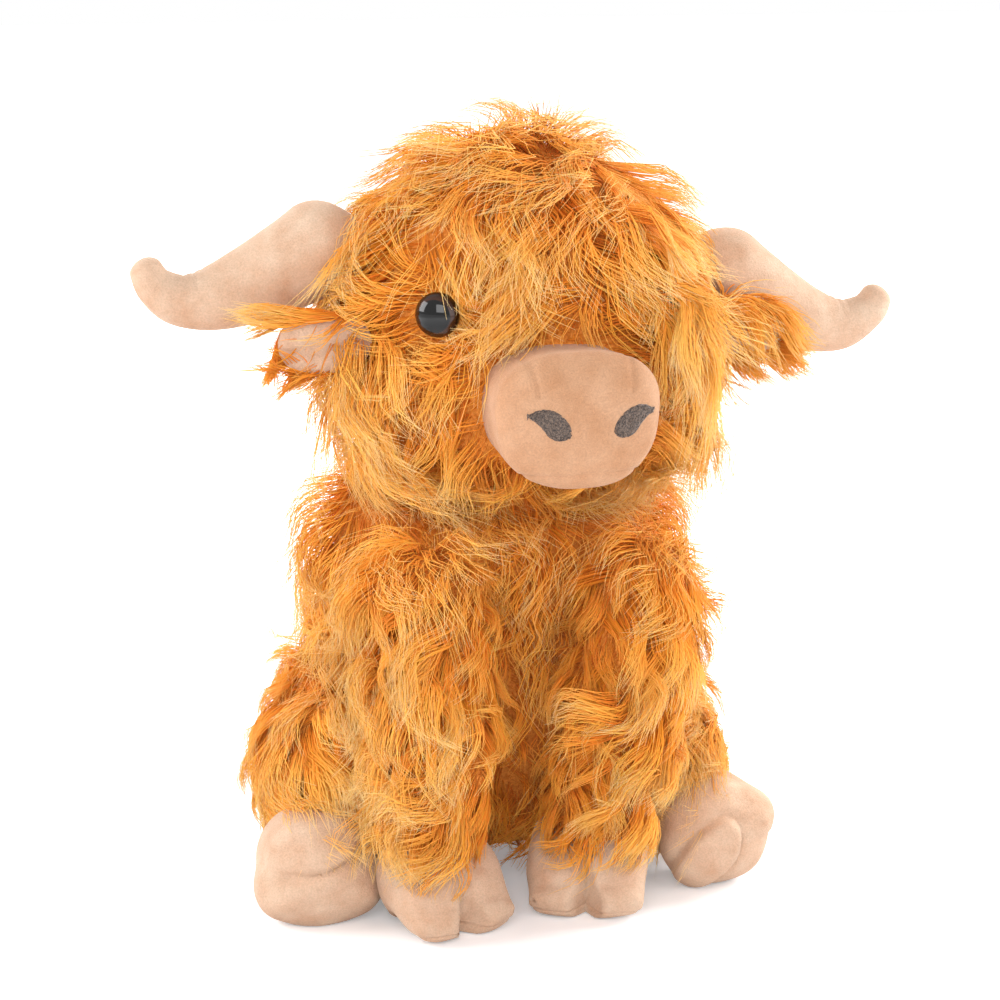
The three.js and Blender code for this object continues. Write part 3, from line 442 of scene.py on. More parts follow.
    # Curl: the whole lock winds from side to side, and half as much up and down, nearly as its neighbours do
    run_length = add(tree, "ShaderNodeMath", {0: along, 1: length}, operation="MULTIPLY")
    run = add(tree, "ShaderNodeMath", {0: run_length, 1: given["Wave length"]}, operation="DIVIDE")
    region = add(tree, "ShaderNodeTexNoise", {"Vector": lock, "Scale": 38.0, "Detail": 0.0})
    shared = add(tree, "ShaderNodeMath", {0: region, 1: 15.0}, operation="MULTIPLY")
    phase = add(tree, "ShaderNodeMath", {0: lock_luck["Y"], 1: 1.4, 2: shared}, operation="MULTIPLY_ADD")
    angle = add(tree, "ShaderNodeMath", {0: run, 1: 6.283, 2: phase}, operation="MULTIPLY_ADD")
    sway = add(tree, "ShaderNodeMath", {0: angle}, operation="SINE")
    bob = add(tree, "ShaderNodeMath", {0: angle}, operation="COSINE")
    sway_start = add(tree, "ShaderNodeMath", {0: phase}, operation="SINE")
    bob_start = add(tree, "ShaderNodeMath", {0: phase}, operation="COSINE")
    sway_by = add(tree, "ShaderNodeMath", {0: sway, 1: sway_start}, operation="SUBTRACT")
    bob_by = add(tree, "ShaderNodeMath", {0: bob, 1: bob_start}, operation="SUBTRACT")
    loosened = add(tree, "ShaderNodeMath", {0: along, 1: 0.6}, operation="POWER")
    own_curl = add(tree, "ShaderNodeMath", {0: lock_luck["Z"], 1: 0.9, 2: 0.5}, operation="MULTIPLY_ADD")
    curl_height = add(tree, "ShaderNodeMath", {0: own_curl, 1: given["Curl height"]}, operation="MULTIPLY")
    curl_size = add(tree, "ShaderNodeMath", {0: loosened, 1: curl_height}, operation="MULTIPLY")
    half_size = add(tree, "ShaderNodeMath", {0: curl_size, 1: 0.5}, operation="MULTIPLY")
    sway_size = add(tree, "ShaderNodeMath", {0: sway_by, 1: curl_size}, operation="MULTIPLY")
    bob_size = add(tree, "ShaderNodeMath", {0: bob_by, 1: half_size}, operation="MULTIPLY")
    swayed = add(tree, "ShaderNodeVectorMath", {0: across_lock, "Scale": sway_size}, operation="SCALE")
    bobbed = add(tree, "ShaderNodeVectorMath", {0: out, "Scale": bob_size}, operation="SCALE")

    # Waves: one that the whole lock shares, and a finer one for each strand
    run_up = add(tree, "ShaderNodeCombineXYZ", {"Z": run})
    lock_place = add(tree, "ShaderNodeVectorMath", {0: lock, "Scale": 431.0}, operation="SCALE")
    lock_at = add(tree, "ShaderNodeVectorMath", {0: lock_place, 1: run_up}, operation="ADD")
    lock_noise = add(tree, "ShaderNodeTexNoise", {"Vector": lock_at, "Scale": 1.0, "Detail": 1.0})
    lock_wave = add(tree, "ShaderNodeVectorMath", {0: lock_noise.outputs["Color"], 1: (0.5, 0.5, 0.5)},
                    operation="SUBTRACT")
    own_place = add(tree, "ShaderNodeVectorMath", {0: root, "Scale": 2200.0}, operation="SCALE")
    own_run = add(tree, "ShaderNodeVectorMath", {0: run_up, "Scale": 2.2}, operation="SCALE")
    own_at = add(tree, "ShaderNodeVectorMath", {0: own_place, 1: own_run}, operation="ADD")
    own_noise = add(tree, "ShaderNodeTexNoise", {"Vector": own_at, "Scale": 1.0, "Detail": 0.0})
    own_wave = add(tree, "ShaderNodeVectorMath", {0: own_noise.outputs["Color"], 1: (0.5, 0.5, 0.5)},
                   operation="SUBTRACT")
    grown = add(tree, "ShaderNodeMath", {0: along, 1: 0.7}, operation="POWER")
    wave_size = add(tree, "ShaderNodeMath", {0: grown, 1: given["Wave height"]}, operation="MULTIPLY")
    lock_size = add(tree, "ShaderNodeMath", {0: wave_size, 1: 4.0}, operation="MULTIPLY")
    own_size = add(tree, "ShaderNodeMath", {0: wave_size, 1: 2.4}, operation="MULTIPLY")
    lock_waved = add(tree, "ShaderNodeVectorMath", {0: lock_wave, "Scale": lock_size}, operation="SCALE")
    own_waved = add(tree, "ShaderNodeVectorMath", {0: own_wave, "Scale": own_size}, operation="SCALE")

    # Its place, kept above the floor. Its depth in the coat, which sets the painted shade of its colour, is
    # full from 24 mm of length, so that a shorter strand keeps more of that shade.
    place = root
    for move in (raised, leaned, pulled, bunched, swayed, bobbed, lock_waved, own_waved):
        place = add(tree, "ShaderNodeVectorMath", {0: place, 1: move}, operation="ADD").outputs[0]
    parts = add(tree, "ShaderNodeSeparateXYZ", {0: place}).outputs
    above = add(tree, "ShaderNodeMath", {0: parts["Z"], 1: 0.0005}, operation="MAXIMUM")
    kept = add(tree, "ShaderNodeCombineXYZ", {"X": parts["X"], "Y": parts["Y"], "Z": above})
    laid = add(tree, "GeometryNodeSetPosition", {"Geometry": strands, "Position": kept})
    full = add(tree, "ShaderNodeMath", {0: length, 1: 0.024}, operation="DIVIDE", use_clamp=True)
    painted_shade_depth = add(tree, "ShaderNodeMath", {0: along, 1: full}, operation="MULTIPLY")
    dyed = add(tree, "GeometryNodeStoreNamedAttribute",
               {"Geometry": laid, "Name": "depth", "Value": painted_shade_depth}, data_type="FLOAT", domain="POINT")

    # A tapering three-sided tube along each strand. Its UV map says which lock and strand it is, and how
    # far out of the coat, so that short pile keeps the painted shade of the deep coat; a strand is a little
    # wide in it, so that it can be baked.
    thinning = add(tree, "ShaderNodeMath", {0: along, 1: 1.6}, operation="POWER")
    taper = add(tree, "ShaderNodeMath", {0: thinning, 1: -0.86, 2: 1.0}, operation="MULTIPLY_ADD")
    own_girth = add(tree, "ShaderNodeMath", {0: luck["Y"], 1: 0.5, 2: 0.75}, operation="MULTIPLY_ADD")
    thickness = add(tree, "ShaderNodeMath", {0: own_girth, 1: given["Strand radius"]}, operation="MULTIPLY")
    radius = add(tree, "ShaderNodeMath", {0: taper, 1: thickness}, operation="MULTIPLY")
    circle = add(tree, "GeometryNodeCurvePrimitiveCircle", {"Resolution": 3, "Radius": 1.0})
    corner = add(tree, "GeometryNodeInputIndex")
    section = add(tree, "GeometryNodeStoreNamedAttribute",
                  {"Geometry": circle, "Name": "around", "Value": corner}, data_type="FLOAT", domain="POINT")
    tube = add(tree, "GeometryNodeCurveToMesh",
               {"Curve": dyed, "Profile Curve": section, "Scale": radius, "Fill Caps": True})
    tip_share = add(tree, "GeometryNodeInputNamedAttribute", {"Name": "depth"}, data_type="FLOAT")
    around = add(tree, "GeometryNodeInputNamedAttribute", {"Name": "around"}, data_type="FLOAT")
    lock_column = add(tree, "ShaderNodeMath", {0: lock_luck["Z"], 1: 0.9, 2: 0.01}, operation="MULTIPLY_ADD")
    column = add(tree, "ShaderNodeMath", {0: luck["Z"], 1: 0.08, 2: lock_column}, operation="MULTIPLY_ADD")
    wide = add(tree, "ShaderNodeMath", {0: around, 1: 0.002, 2: column}, operation="MULTIPLY_ADD")
    mapped_to = add(tree, "ShaderNodeCombineXYZ", {"X": wide, "Y": tip_share})
    mapped = add(tree, "GeometryNodeStoreNamedAttribute",
                 {"Geometry": tube, "Name": "OFBake", "Value": mapped_to},
                 data_type="FLOAT2", domain="CORNER")
    whole = add(tree, "GeometryNodeRealizeInstances", {"Geometry": mapped})
    dressed = add(tree, "GeometryNodeSetMaterial", {"Geometry": whole, "Material": given["Fur"]})
    add(tree, "NodeGroupOutput", {0: dressed})
    return tree


long_fur = fur_tree()


def unit(vectors):
    """The vectors at unit length."""
    return vectors / np.maximum(np.linalg.norm(vectors, axis=1), 1e-9)[:, None]


def flat_on(vectors, normals):
    """The part of each vector that lies along the skin, at unit length."""
    return unit(vectors - normals * (vectors * normals).sum(axis=1)[:, None])


# The swirls come out the same each time: their noise takes its offsets from this seed
noise.seed_set(7)


def swirl(points, spacing):
    """A smooth random vector at each point, that changes over the spacing."""
    return np.array([noise.noise_vector(Vector(p / spacing)) for p in points])


def tufted(points, spacing, amount):
    """Shares about 1, that make the pile longer in some patches and shorter in others."""
    return np.array([1 + amount * noise.noise(Vector(p / spacing) + Vector((9.3, 0, 0))) for p in points])


def open_share(points, normals, reach, neighbours):
    """1 where the fur is free, falling to 0 where a neighbouring piece lies on it."""
    share = np.ones(len(points))
    for name in neighbours:
        nearest = surface_of(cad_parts[name].data)
        for i, point in enumerate(points + normals * reach):
            distance = nearest.find_nearest(Vector(point))[3]
            share[i] = min(share[i], np.clip((distance - 0.002) / 0.005, 0.06, 1))
    return share


def made_by(nodes, piece, sizes):
    """The plain mesh that a tree of Geometry Nodes makes of a piece, at the sizes given by their names."""
    modifier = piece.modifiers.new("nodes", "NODES")
    modifier.node_group = nodes
    for item in nodes.interface.items_tree:
        if item.in_out == "INPUT" and item.name in sizes:
            modifier[item.identifier] = sizes[item.name]
    piece.update_tag()
    bpy.context.view_layer.update()
    graph = bpy.context.evaluated_depsgraph_get()
    mesh = bpy.data.meshes.new_from_object(piece.evaluated_get(graph), depsgraph=graph)
    piece.modifiers.remove(modifier)
    return mesh


def corners_of(mesh, kind="co"):
    """The places of a strand mesh's points, or with 'normal' their outward normals."""
    flat = np.zeros(len(mesh.vertices) * 3, np.float32)
    if kind == "co":
        mesh.vertices.foreach_get("co", flat)
    else:
        mesh.vertex_normals.foreach_get("vector", flat)
    return flat.reshape(-1, 3)


def grow(name, skin, body, strands, pile, comb, cover, lift=None, stand=0.65, wave=0.0015, wave_length=0.03,
         curl=0.0055, tousle=1.1, radius=0.00023, lock_spacing=0.0065, pull=0.9, tuft_spacing=0.017,
         tuft_pull=0.55, along=6, seed=1, lock_seed=0, look=fur, slot="fur", trim=None, soften=0.3):
    """Grows the pile of a skin, as a plain mesh that rides on the skin's body. Strands that trim() tells from
    their points are cut off. A strand stands for a bundle of fibres, so its shading leans to the skin's."""
    mesh = skin.data
    lift = np.ones(len(pile)) if lift is None else lift
    for key, values in (("comb", comb), ("pile", pile), ("cover", cover), ("lift", lift)):
        kind, field = ("FLOAT_VECTOR", "vector") if key == "comb" else ("FLOAT", "value")
        layer = mesh.attributes.new(key, kind, "POINT")
        layer.data.foreach_set(field, np.asarray(values, np.float32).ravel())
    area = sum(p.area * cover[list(p.vertices)].mean() for p in mesh.polygons)
    sizes = {"Strands per square metre": strands / area, "Locks per square metre": 1 / lock_spacing**2,
             "Seed": seed, "Lock seed": lock_seed or seed, "Tufts per square metre": 1 / tuft_spacing**2,
             "Tuft pull": tuft_pull, "Strand radius": radius, "Stand": stand, "Wave height": wave,
             "Wave length": wave_length, "Curl height": curl, "Tousle": tousle, "Lock pull": pull,
             "Points along": along, "Fur": look}
    grown = made_by(long_fur, skin, sizes)
    given = ("comb", "pile", "cover", "lift")
    spent = (*given, "root", "out", "lock", "tuft", "own", "along", "around", "depth")
    for layer in [a.name for a in grown.attributes if a.name in spent]:
        grown.attributes.remove(grown.attributes[layer])
    for layer in given:
        mesh.attributes.remove(mesh.attributes[layer])
    each = 3 * along
    if trim:
        cut = trim(corners_of(grown).reshape(-1, each, 3))
        shorn = bmesh.new()
        shorn.from_mesh(grown)
        shorn.verts.ensure_lookup_table()
        gone = [shorn.verts[i] for strand in np.flatnonzero(cut)
                for i in range(strand * each, (strand + 1) * each)]
        bmesh.ops.delete(shorn, geom=gone, context="VERTS")
        shorn.to_mesh(grown)
        shorn.free()
    grown.shade_smooth()
    if soften:
        own = corners_of(grown, "normal")
        roots = corners_of(grown).reshape(-1, each, 3)[:, :3].mean(axis=1)
        nearest = surface_of(mesh)
        outs = np.array([nearest.find_nearest(Vector(root))[1] for root in roots])
        blended = unit(own * (1 - soften) + np.repeat(outs, each, axis=0) * soften)
        grown.normals_split_custom_set_from_vertices(blended.tolist())
    grown.name = name
    coat = bpy.data.objects.new(name, grown)
    bpy.context.scene.collection.objects.link(coat)
    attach(coat, body)
    return coat


def grow_layers(name, layers, strands, seed, **rest):
    """Fur too dense for one piece is grown in layers over the same skin, and their locks are the same."""
    for layer in range(layers):
        grow(f"{name}_{layer + 1}", strands=strands / layers, seed=seed + layer, lock_seed=seed, **rest)


along_x, along_y, along_z = np.eye(3)
down = -along_z
root_depth = 8 * mm
torso_height, torso_lean = 172 * mm, 34 * mm
torso_width = np.array([0.78, 0.81, 0.82, 0.81, 0.79, 0.83, 0.97, 0.97, 0.8]) * 73 * mm
torso_depth = np.array([0.8, 0.84, 0.92, 0.98, 1.0, 0.97, 0.9, 0.81, 0.68]) * 58 * mm
torso_lean_shares = np.array([0, -0.06, -0.06, 0.03, 0.15, 0.32, 0.56, 0.8, 1.0])
torso_levels = np.linspace(-0.5 * mm, torso_height - 0.5 * mm, 9)
torso_spine = np.column_stack([np.zeros(9), -torso_lean_shares * torso_lean, torso_levels])
torso = form("torso_backing", torso_spine, np.column_stack([torso_width, torso_depth]), along_x,
             start_round=16 * mm, end_round=12 * mm, inset=root_depth)
torso.data.materials.append(backing)
points, normals = points_of(torso)
high = rising(points[:, 2], 120 * mm, 40 * mm)
outward = along_x * np.clip(points[:, :1] / (40 * mm), -1, 1)
flank = fading(points[:, 2] - 112 * mm, 28 * mm) * np.clip(np.abs(normals[:, 0]) * 1.4, 0, 1)
flank *= np.where(points[:, 0] < 0, 1.6, -0.5)
torso_comb = flat_on(down - along_y * 0.35 * high[:, None] + outward * (0.35 + 0.7 * flank[:, None])
                     + 0.95 * swirl(points, 24 * mm), normals)
torso_open = open_share(points, normals, root_depth,
                        ("head_cover", "front_leg_cover_left", "front_leg_cover_right",
                         "hind_leg_cover_left", "hind_leg_cover_right"))
torso_open *= np.clip((points[:, 2] - 12 * mm) / (10 * mm), 0.05, 1)
torso_pile = (30 * mm + 10 * mm * flank) * np.clip(points[:, 2] / (35 * mm), 0.35, 1)
torso_pile *= tufted(points, 16 * mm, 0.4)
# It is short where the front legs hang close together, and there it keeps the painted shade of the deep coat
between_legs = (np.clip(1 - np.abs(points[:, 0] + 4 * mm) / (20 * mm), 0, 1)
                * np.clip((115 * mm - points[:, 2]) / (20 * mm), 0, 1) * (points[:, 1] < -20 * mm))
torso_pile *= 1 - 0.6 * between_legs
chest = high * np.clip(-normals[:, 1] * 2, 0, 1)
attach(torso, "body")
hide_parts("body_cover")
grow_layers("torso_fur", layers=2, skin=torso, body="body", strands=11000, pile=torso_pile, comb=torso_comb,
            cover=torso_open, lift=(1 + 0.5 * flank) * (1 - 0.45 * chest), seed=11)


# Neck
# Filled cloth between the torso and the head, sewn into both and grown over with the same pile, so that
# the head can turn and nod.
neck_middle = np.array([0, -34, 174]) * mm
neck = form("neck_backing", neck_middle + np.outer([-1, 0, 1], along_z) * 34 * mm,
            np.full((3, 2), 34 * mm), along_x, start_round=34 * mm, end_round=34 * mm, inset=1 * mm,
            count=32, steps=2)
neck.data.materials.append(backing)
points, normals = points_of(neck)
neck_comb = flat_on(np.tile(down, (len(points), 1)) + 0.4 * swirl(points, 20 * mm), normals)
neck_open = np.clip(1 - np.abs(points[:, 2] - neck_middle[2]) / (22 * mm), 0, 1)
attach(neck, "neck")
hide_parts("neck_filling")
neck_pile = np.full(len(points), 18 * mm)
grow("neck_fur", neck, "neck", 1500, neck_pile, neck_comb, neck_open, curl=0.002, seed=31)


# Head cover
# The same backing with longer, straighter pile that falls from the crown over the face. It is sewn from
# panels, filled, and sewn to the neck.
chin = 167 * mm
head_height = 134 * mm
head_middle = -64 * mm
head_width = np.array([0.7, 0.87, 0.97, 1.0, 1.0, 0.97, 0.9, 0.79, 0.7]) * 71 * mm
head_depth = np.array([0.73, 0.87, 0.96, 1.0, 1.0, 0.95, 0.87, 0.78, 0.73]) * 55 * mm
head_lean = np.array([0.07, 0.07, 0.03, 0, -0.03, -0.07, -0.1, -0.13, -0.13]) * 55 * mm
head_levels = np.linspace(chin, chin + head_height, 9)
head_spine = np.column_stack([np.zeros(9), head_middle - head_lean, head_levels])
head = form("head_backing", head_spine, np.column_stack([head_width, head_depth]), along_x,
            start_round=24 * mm, end_round=45 * mm, inset=root_depth)
head.data.materials.append(backing)
points, normals = points_of(head)
crown = np.array([4, -28, 292]) * mm
muzzle_middle = np.array([0, -118, chin / mm + 37]) * mm
from_crown = flat_on(points - crown, normals)
from_muzzle = points - muzzle_middle
muzzle_distance = np.linalg.norm(from_muzzle * [0.9, 0.35, 1], axis=1)
muzzle_near = (1 - rising(muzzle_distance, 30 * mm, 22 * mm)) * (points[:, 1] < -60 * mm)
horn_roots = np.array([[79.14, -57.75, 242], [-76.31, -57.75, 257]]) * mm
by_horn = np.max([fading(distance_to(points, root), 26 * mm) for root in horn_roots], axis=0)
sideways = along_x * np.sign(points[:, :1])
head_comb = (from_crown * 0.6 + down * 0.35 + 0.95 * swirl(points, 26 * mm)
             + sideways * np.where(points[:, :1] > 0, 1.1, 1.4) * by_horn[:, None]
             + flat_on(from_muzzle, normals) * 2.2 * muzzle_near[:, None])
right_eye, left_eye = np.array([[-43, -104, 239], [43, -104, 239]]) * mm
from_eye = points - right_eye
# The pile parts round the right eye, further above it than below, and least at its inner edge
stretched = from_eye * np.where(from_eye[:, 2:] > 0, [1, 1, 0.5], 1)
eye_near = 1 - rising(np.linalg.norm(stretched, axis=1), 7 * mm, 16 * mm)
eye_near *= np.where(from_eye[:, 0] > 4 * mm, 0.35, 1)
part = flat_on(from_eye * [1.6, 1, 1], normals)
head_comb = flat_on(head_comb + part * 2.6 * eye_near[:, None], normals)
head_pile = 38 * mm + 6 * mm * rising(points[:, 2], 240 * mm, 40 * mm)
near_crown = fading(distance_to(points, crown), 22 * mm)
head_pile *= (1 - 0.4 * near_crown) * tufted(points, 15 * mm, 0.5)
facing = np.clip(-normals[:, 1] * 1.3 - 0.2, 0, 1)
head_lift = (1 - 0.35 * near_crown) * (1 - 0.15 * facing) * tufted(points, 19 * mm, 0.45)
above_roots = [np.array([-np.sign(root[0]) * 8, -4, 18]) * mm for root in horn_roots]
above_horn = np.max([fading(distance_to(points - root, above), 13 * mm)
                     for root, above in zip(horn_roots, above_roots)], axis=0)
head_pile += 8 * mm * by_horn + 12 * mm * above_horn
head_comb = flat_on(head_comb + (sideways * 1.6 + along_z * 0.2) * above_horn[:, None], normals)
# The upper corners are shorter and flatter, the left one most
corner = rising(np.abs(points[:, 0] - 4 * mm), 16 * mm, 18 * mm) * rising(points[:, 2], 240 * mm, 20 * mm)
corner *= np.where(points[:, 0] > 0, 1.7, 1.0)
head_pile *= 1 - 0.28 * corner
head_lift *= 1 - 0.5 * corner
head_pile *= 1 - 0.45 * eye_near
# Sheaves: one at the right temple sweeps out over the horn's lower side, two fall over the horns' roots, one
# laps over the right eye's inner edge, and two cover the left eye
for place, width, way, longer, lifted in (((-66, -80, 247), 13, (-1, -0.15, -0.2), 30, 0.3),
                                          ((-50, -76, 273), 12, (-1, -0.1, -0.25), 16, 0.15),
                                          ((54, -66, 262), 11, (1, -0.1, -0.35), 12, 0.1),
                                          ((-31, -108, 240), 6, (-1, -0.3, 0.1), 0, 0.1),
                                          ((30, -104, 243), 9, (1, -0.4, -0.1), 6, 0.7),
                                          ((38, -92, 257), 9, (0.2, -0.6, -1), 6, 0.6)):
    sheaf = fading(distance_to(points, np.array(place) * mm), width * mm)
    head_comb = head_comb * (1 - sheaf[:, None]) + np.array(way) * sheaf[:, None]
    head_pile += longer * mm * sheaf
    head_lift += lifted * sheaf
head_pile *= 1 - 0.35 * muzzle_near - 0.25 * muzzle_near * (from_muzzle[:, 2] > 0)
head_open = open_share(points, normals, root_depth, ("body_cover",))
head_open *= np.clip(open_share(points, normals, 0, ("horn_cover_left", "horn_cover_right")) * 1.3, 0.02, 1)
head_open *= np.where(muzzle_distance < 26 * mm, np.where(points[:, 1] < -80 * mm, 0.02, 1), 1)
head_open *= rising(np.linalg.norm(from_eye, axis=1), 8 * mm, 4 * mm)
over_left_eye = np.linalg.norm((points - left_eye - [-3 * mm, 0, 15 * mm]) * [1, 0.4, 0.7], axis=1)
head_open *= 1 + 5.0 * np.clip(1 - over_left_eye / (22 * mm), 0, 1)
head_open *= 1 + 0.6 * near_crown
over_left_eye = np.clip(1 - over_left_eye / (24 * mm), 0, 1)
head_pile *= 1 + 0.35 * over_left_eye
head_lift += 0.8 * over_left_eye
eye_axis = np.array([-np.sin(np.radians(31)), -np.cos(np.radians(31)), 0])


def trimmed_face(strands):
    """The strands that cross the right eye or hang over the muzzle's face."""
    to_eye = strands - (right_eye + [-5 * mm, 0, 0.6 * mm] + eye_axis * 2 * mm)
    ahead = to_eye @ eye_axis
    beside = np.linalg.norm(to_eye - ahead[..., None] * eye_axis, axis=2)
    over_eye = ((beside < 7.4 * mm) & (ahead > -2 * mm)).any(axis=1)
    to_muzzle = np.abs(strands - [0, 0, muzzle_middle[2]])
    over_muzzle = ((to_muzzle[..., 0] < 26 * mm) & (to_muzzle[..., 2] < 22 * mm)
                   & (strands[..., 1] < -122 * mm)).any(axis=1)
    return over_eye | over_muzzle


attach(head, "head")
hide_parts("head_cover")
grow_layers("head_fur", layers=3, skin=head, body="head", strands=16500, pile=head_pile, comb=head_comb,
            cover=head_open, lift=head_lift, wave_length=0.036, tousle=1.2, lock_spacing=0.0075,
            tuft_spacing=0.02, tuft_pull=0.65, seed=21, trim=trimmed_face)


# Muzzle
# A soft box of short pile, its face cut from one piece and its underside from another, filled and sewn
# into an opening in the fur.
def short_pile_material(name, dark, pale):
    """Short polyester plush: matt, with pressed patches that turn darker and a pale sheen at the edge."""
    plush, tree = new_material(name)
    place = add(tree, "ShaderNodeTexCoord").outputs["Object"]
    patches = add(tree, "ShaderNodeTexNoise",
                  {"Vector": place, "Scale": 70.0, "Detail": 3.0, "Roughness": 0.6})
    nap = add(tree, "ShaderNodeTexNoise",
              {"Vector": place, "Scale": 1500.0, "Detail": 2.0, "Roughness": 0.7})
    tone = add(tree, "ShaderNodeValToRGB", {"Fac": patches.outputs["Fac"]})
    dye(tone, (0.3, dark), (0.7, pale))
    fleck = add(tree, "ShaderNodeMapRange",
                {"Value": nap.outputs["Fac"], "From Min": 0.3, "From Max": 0.7,
                 "To Min": 0.86, "To Max": 1.1})
    tuned = add(tree, "ShaderNodeHueSaturation", {"Color": tone.outputs[0], "Value": fleck.outputs[0]})
    bump = add(tree, "ShaderNodeBump", {"Height": nap.outputs["Fac"], "Distance": 0.0005, "Strength": 0.7})
    matt = add(tree, "ShaderNodeMapRange", {"Value": nap.outputs["Fac"], "To Min": 0.75, "To Max": 0.95})
    shader = add(tree, "ShaderNodeBsdfPrincipled",
                 {"Base Color": tuned.outputs[0], "Roughness": matt.outputs[0], "Specular IOR Level": 0.15,
                  "Sheen Weight": 0.4, "Sheen Roughness": 0.3, "Sheen Tint": linear("#FFE8D2"),
                  "Normal": bump.outputs[0]})
    add(tree, "ShaderNodeOutputMaterial", {"Surface": shader.outputs[0]})
    return plush


plush = short_pile_material("short_plush", "#C9A083", "#DABDA4")
pressed_plush = short_pile_material("short_plush_pressed", "#BD8B67", "#CC9F7E")


def moved(piece, amount):
    """Moves the piece's points along their normals, by an amount each."""
    points, normals = points_of(piece)
    points += normals * np.asarray(amount)[:, None]
    set_points(piece, points)
    piece.data.update()


def lumpy(piece, spacing, depth, shift=0.0):
    """The slight unevenness of stuffed cloth."""
    points, _ = points_of(piece)
    moved(piece, [depth * noise.noise(Vector(p / spacing) + Vector((shift, 0, 0))) for p in points])


def crease(distance, width, depth):
    """How far a crease draws the cloth in, at a distance from its line."""
    return -depth * fading(distance, width)


def stuffed(piece, body, nodes, look=plush):
    """Dresses a filled cover, which moves with its body and stands for the solids named."""
    piece.data.materials.append(look)
    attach(piece, body)
    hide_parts(*nodes)


muzzle_front = -142.75 * mm
muzzle_level = 204 * mm
muzzle_half_width, muzzle_half_height = 30 * mm, 26 * mm
muzzle_spine = np.array([[0, muzzle_front + 44 * mm, muzzle_level], [0, muzzle_front, muzzle_level]])
muzzle = form("muzzle", muzzle_spine,
              np.array([[0.9, 0.9], [1, 1]]) * [muzzle_half_width, muzzle_half_height], along_x,
              end_round=12 * mm, square=0.76, count=112, steps=16, round_steps=30, end_blunt=0.62)
points, normals = points_of(muzzle)
rise = (points[:, 2] - muzzle_level) / muzzle_half_height
points[:, 0] *= 1 + 0.07 * rise - 0.05 * rise**2
points[:, 2] = muzzle_level + muzzle_half_height * np.where(rise < 0, rise * 0.93, rise - 0.03 * rise**3)
set_points(muzzle, points)
points, normals = points_of(muzzle)
front = points[:, 1] < muzzle_front + 16 * mm
chin_seam = points[:, 2] - (muzzle_level - 17.5 * mm + 0.02 * points[:, 0])
# A seam under the nostrils, and a dart at each side above them
amount = crease(chin_seam, 0.8 * mm, 0.9 * mm) * front * (np.abs(points[:, 0]) < 21 * mm)
for side in (-1, 1):
    dart = points[:, 0] - side * (17.5 * mm + 0.12 * (points[:, 2] - muzzle_level - 18 * mm))
    amount += crease(dart, 0.8 * mm, 0.8 * mm) * (points[:, 2] > muzzle_level + 11 * mm)
moved(muzzle, amount)
lumpy(muzzle, 16 * mm, 0.7 * mm)
stuffed(muzzle, "head", ("muzzle_cover",), look=pressed_plush)


# Nostrils
# Two drop-shaped patches of fill stitch in dark brown thread, raised on the muzzle's face. Short stitches
# lie side by side over a padding of the same thread.
def thread_material():
    """Rayon embroidery thread: dark brown and silky. Pale flecks along the stitches are painted glints."""
    thread, tree = new_material("embroidery_thread")
    place = add(tree, "ShaderNodeTexCoord").outputs["Object"]
    ply_and_painted_glint = add(tree, "ShaderNodeTexNoise", {"Vector": place, "Scale": 1800.0, "Detail": 1.0})
    tone = add(tree, "ShaderNodeValToRGB", {"Fac": ply_and_painted_glint.outputs["Fac"]})
    # The pale end of the ramp is painted glint on the dark brown thread
    dye(tone, (0.35, "#2A1B16"), (0.72, "#7C6656"))
    bump = add(tree, "ShaderNodeBump", {"Height": ply_and_painted_glint.outputs["Fac"], "Distance": 0.0002})
    shader = add(tree, "ShaderNodeBsdfPrincipled",
                 {"Base Color": tone.outputs[0], "Roughness": 0.45, "Specular IOR Level": 0.5,
                  "Sheen Weight": 0.2, "Normal": bump.outputs[0]})
    add(tree, "ShaderNodeOutputMaterial", {"Surface": shader.outputs[0]})
    return thread


def stitch_tree():
    """Short stitches that lie on a skin in one direction."""
    tree = bpy.data.node_groups.new("fill_stitches", "GeometryNodeTree")
    for name, kind in (("Skin", "NodeSocketGeometry"), ("Stitches per square metre", "NodeSocketFloat"),
                       ("Seed", "NodeSocketInt"), ("Direction", "NodeSocketVector"),
                       ("Stitch", "NodeSocketVector"), ("Thread", "NodeSocketMaterial")):
        tree.interface.new_socket(name=name, in_out="INPUT", socket_type=kind)
    tree.interface.new_socket(name="Stitches", in_out="OUTPUT", socket_type="NodeSocketGeometry")
    given = add(tree, "NodeGroupInput").outputs
    places = add(tree, "GeometryNodeDistributePointsOnFaces",
                 {"Mesh": given["Skin"], "Density": given["Stitches per square metre"],
                  "Seed": given["Seed"]})
    upright = add(tree, "FunctionNodeAlignRotationToVector", {"Vector": places.outputs["Normal"]}, axis="Z")
    laid = add(tree, "FunctionNodeAlignRotationToVector", {"Rotation": upright, "Vector": given["Direction"]},
               axis="X", pivot_axis="Z")
    bead = add(tree, "GeometryNodeMeshUVSphere", {"Segments": 6, "Rings": 4, "Radius": 1.0})
    stitches = add(tree, "GeometryNodeInstanceOnPoints",
                   {"Points": places, "Instance": bead, "Rotation": laid, "Scale": given["Stitch"]})
    padded = add(tree, "GeometryNodeJoinGeometry", {"Geometry": stitches})
    tree.links.new(given["Skin"], padded.inputs["Geometry"])
    whole = add(tree, "GeometryNodeRealizeInstances", {"Geometry": padded})
    dressed = add(tree, "GeometryNodeSetMaterial", {"Geometry": whole, "Material": given["Thread"]})
    add(tree, "NodeGroupOutput", {0: dressed})
    return tree


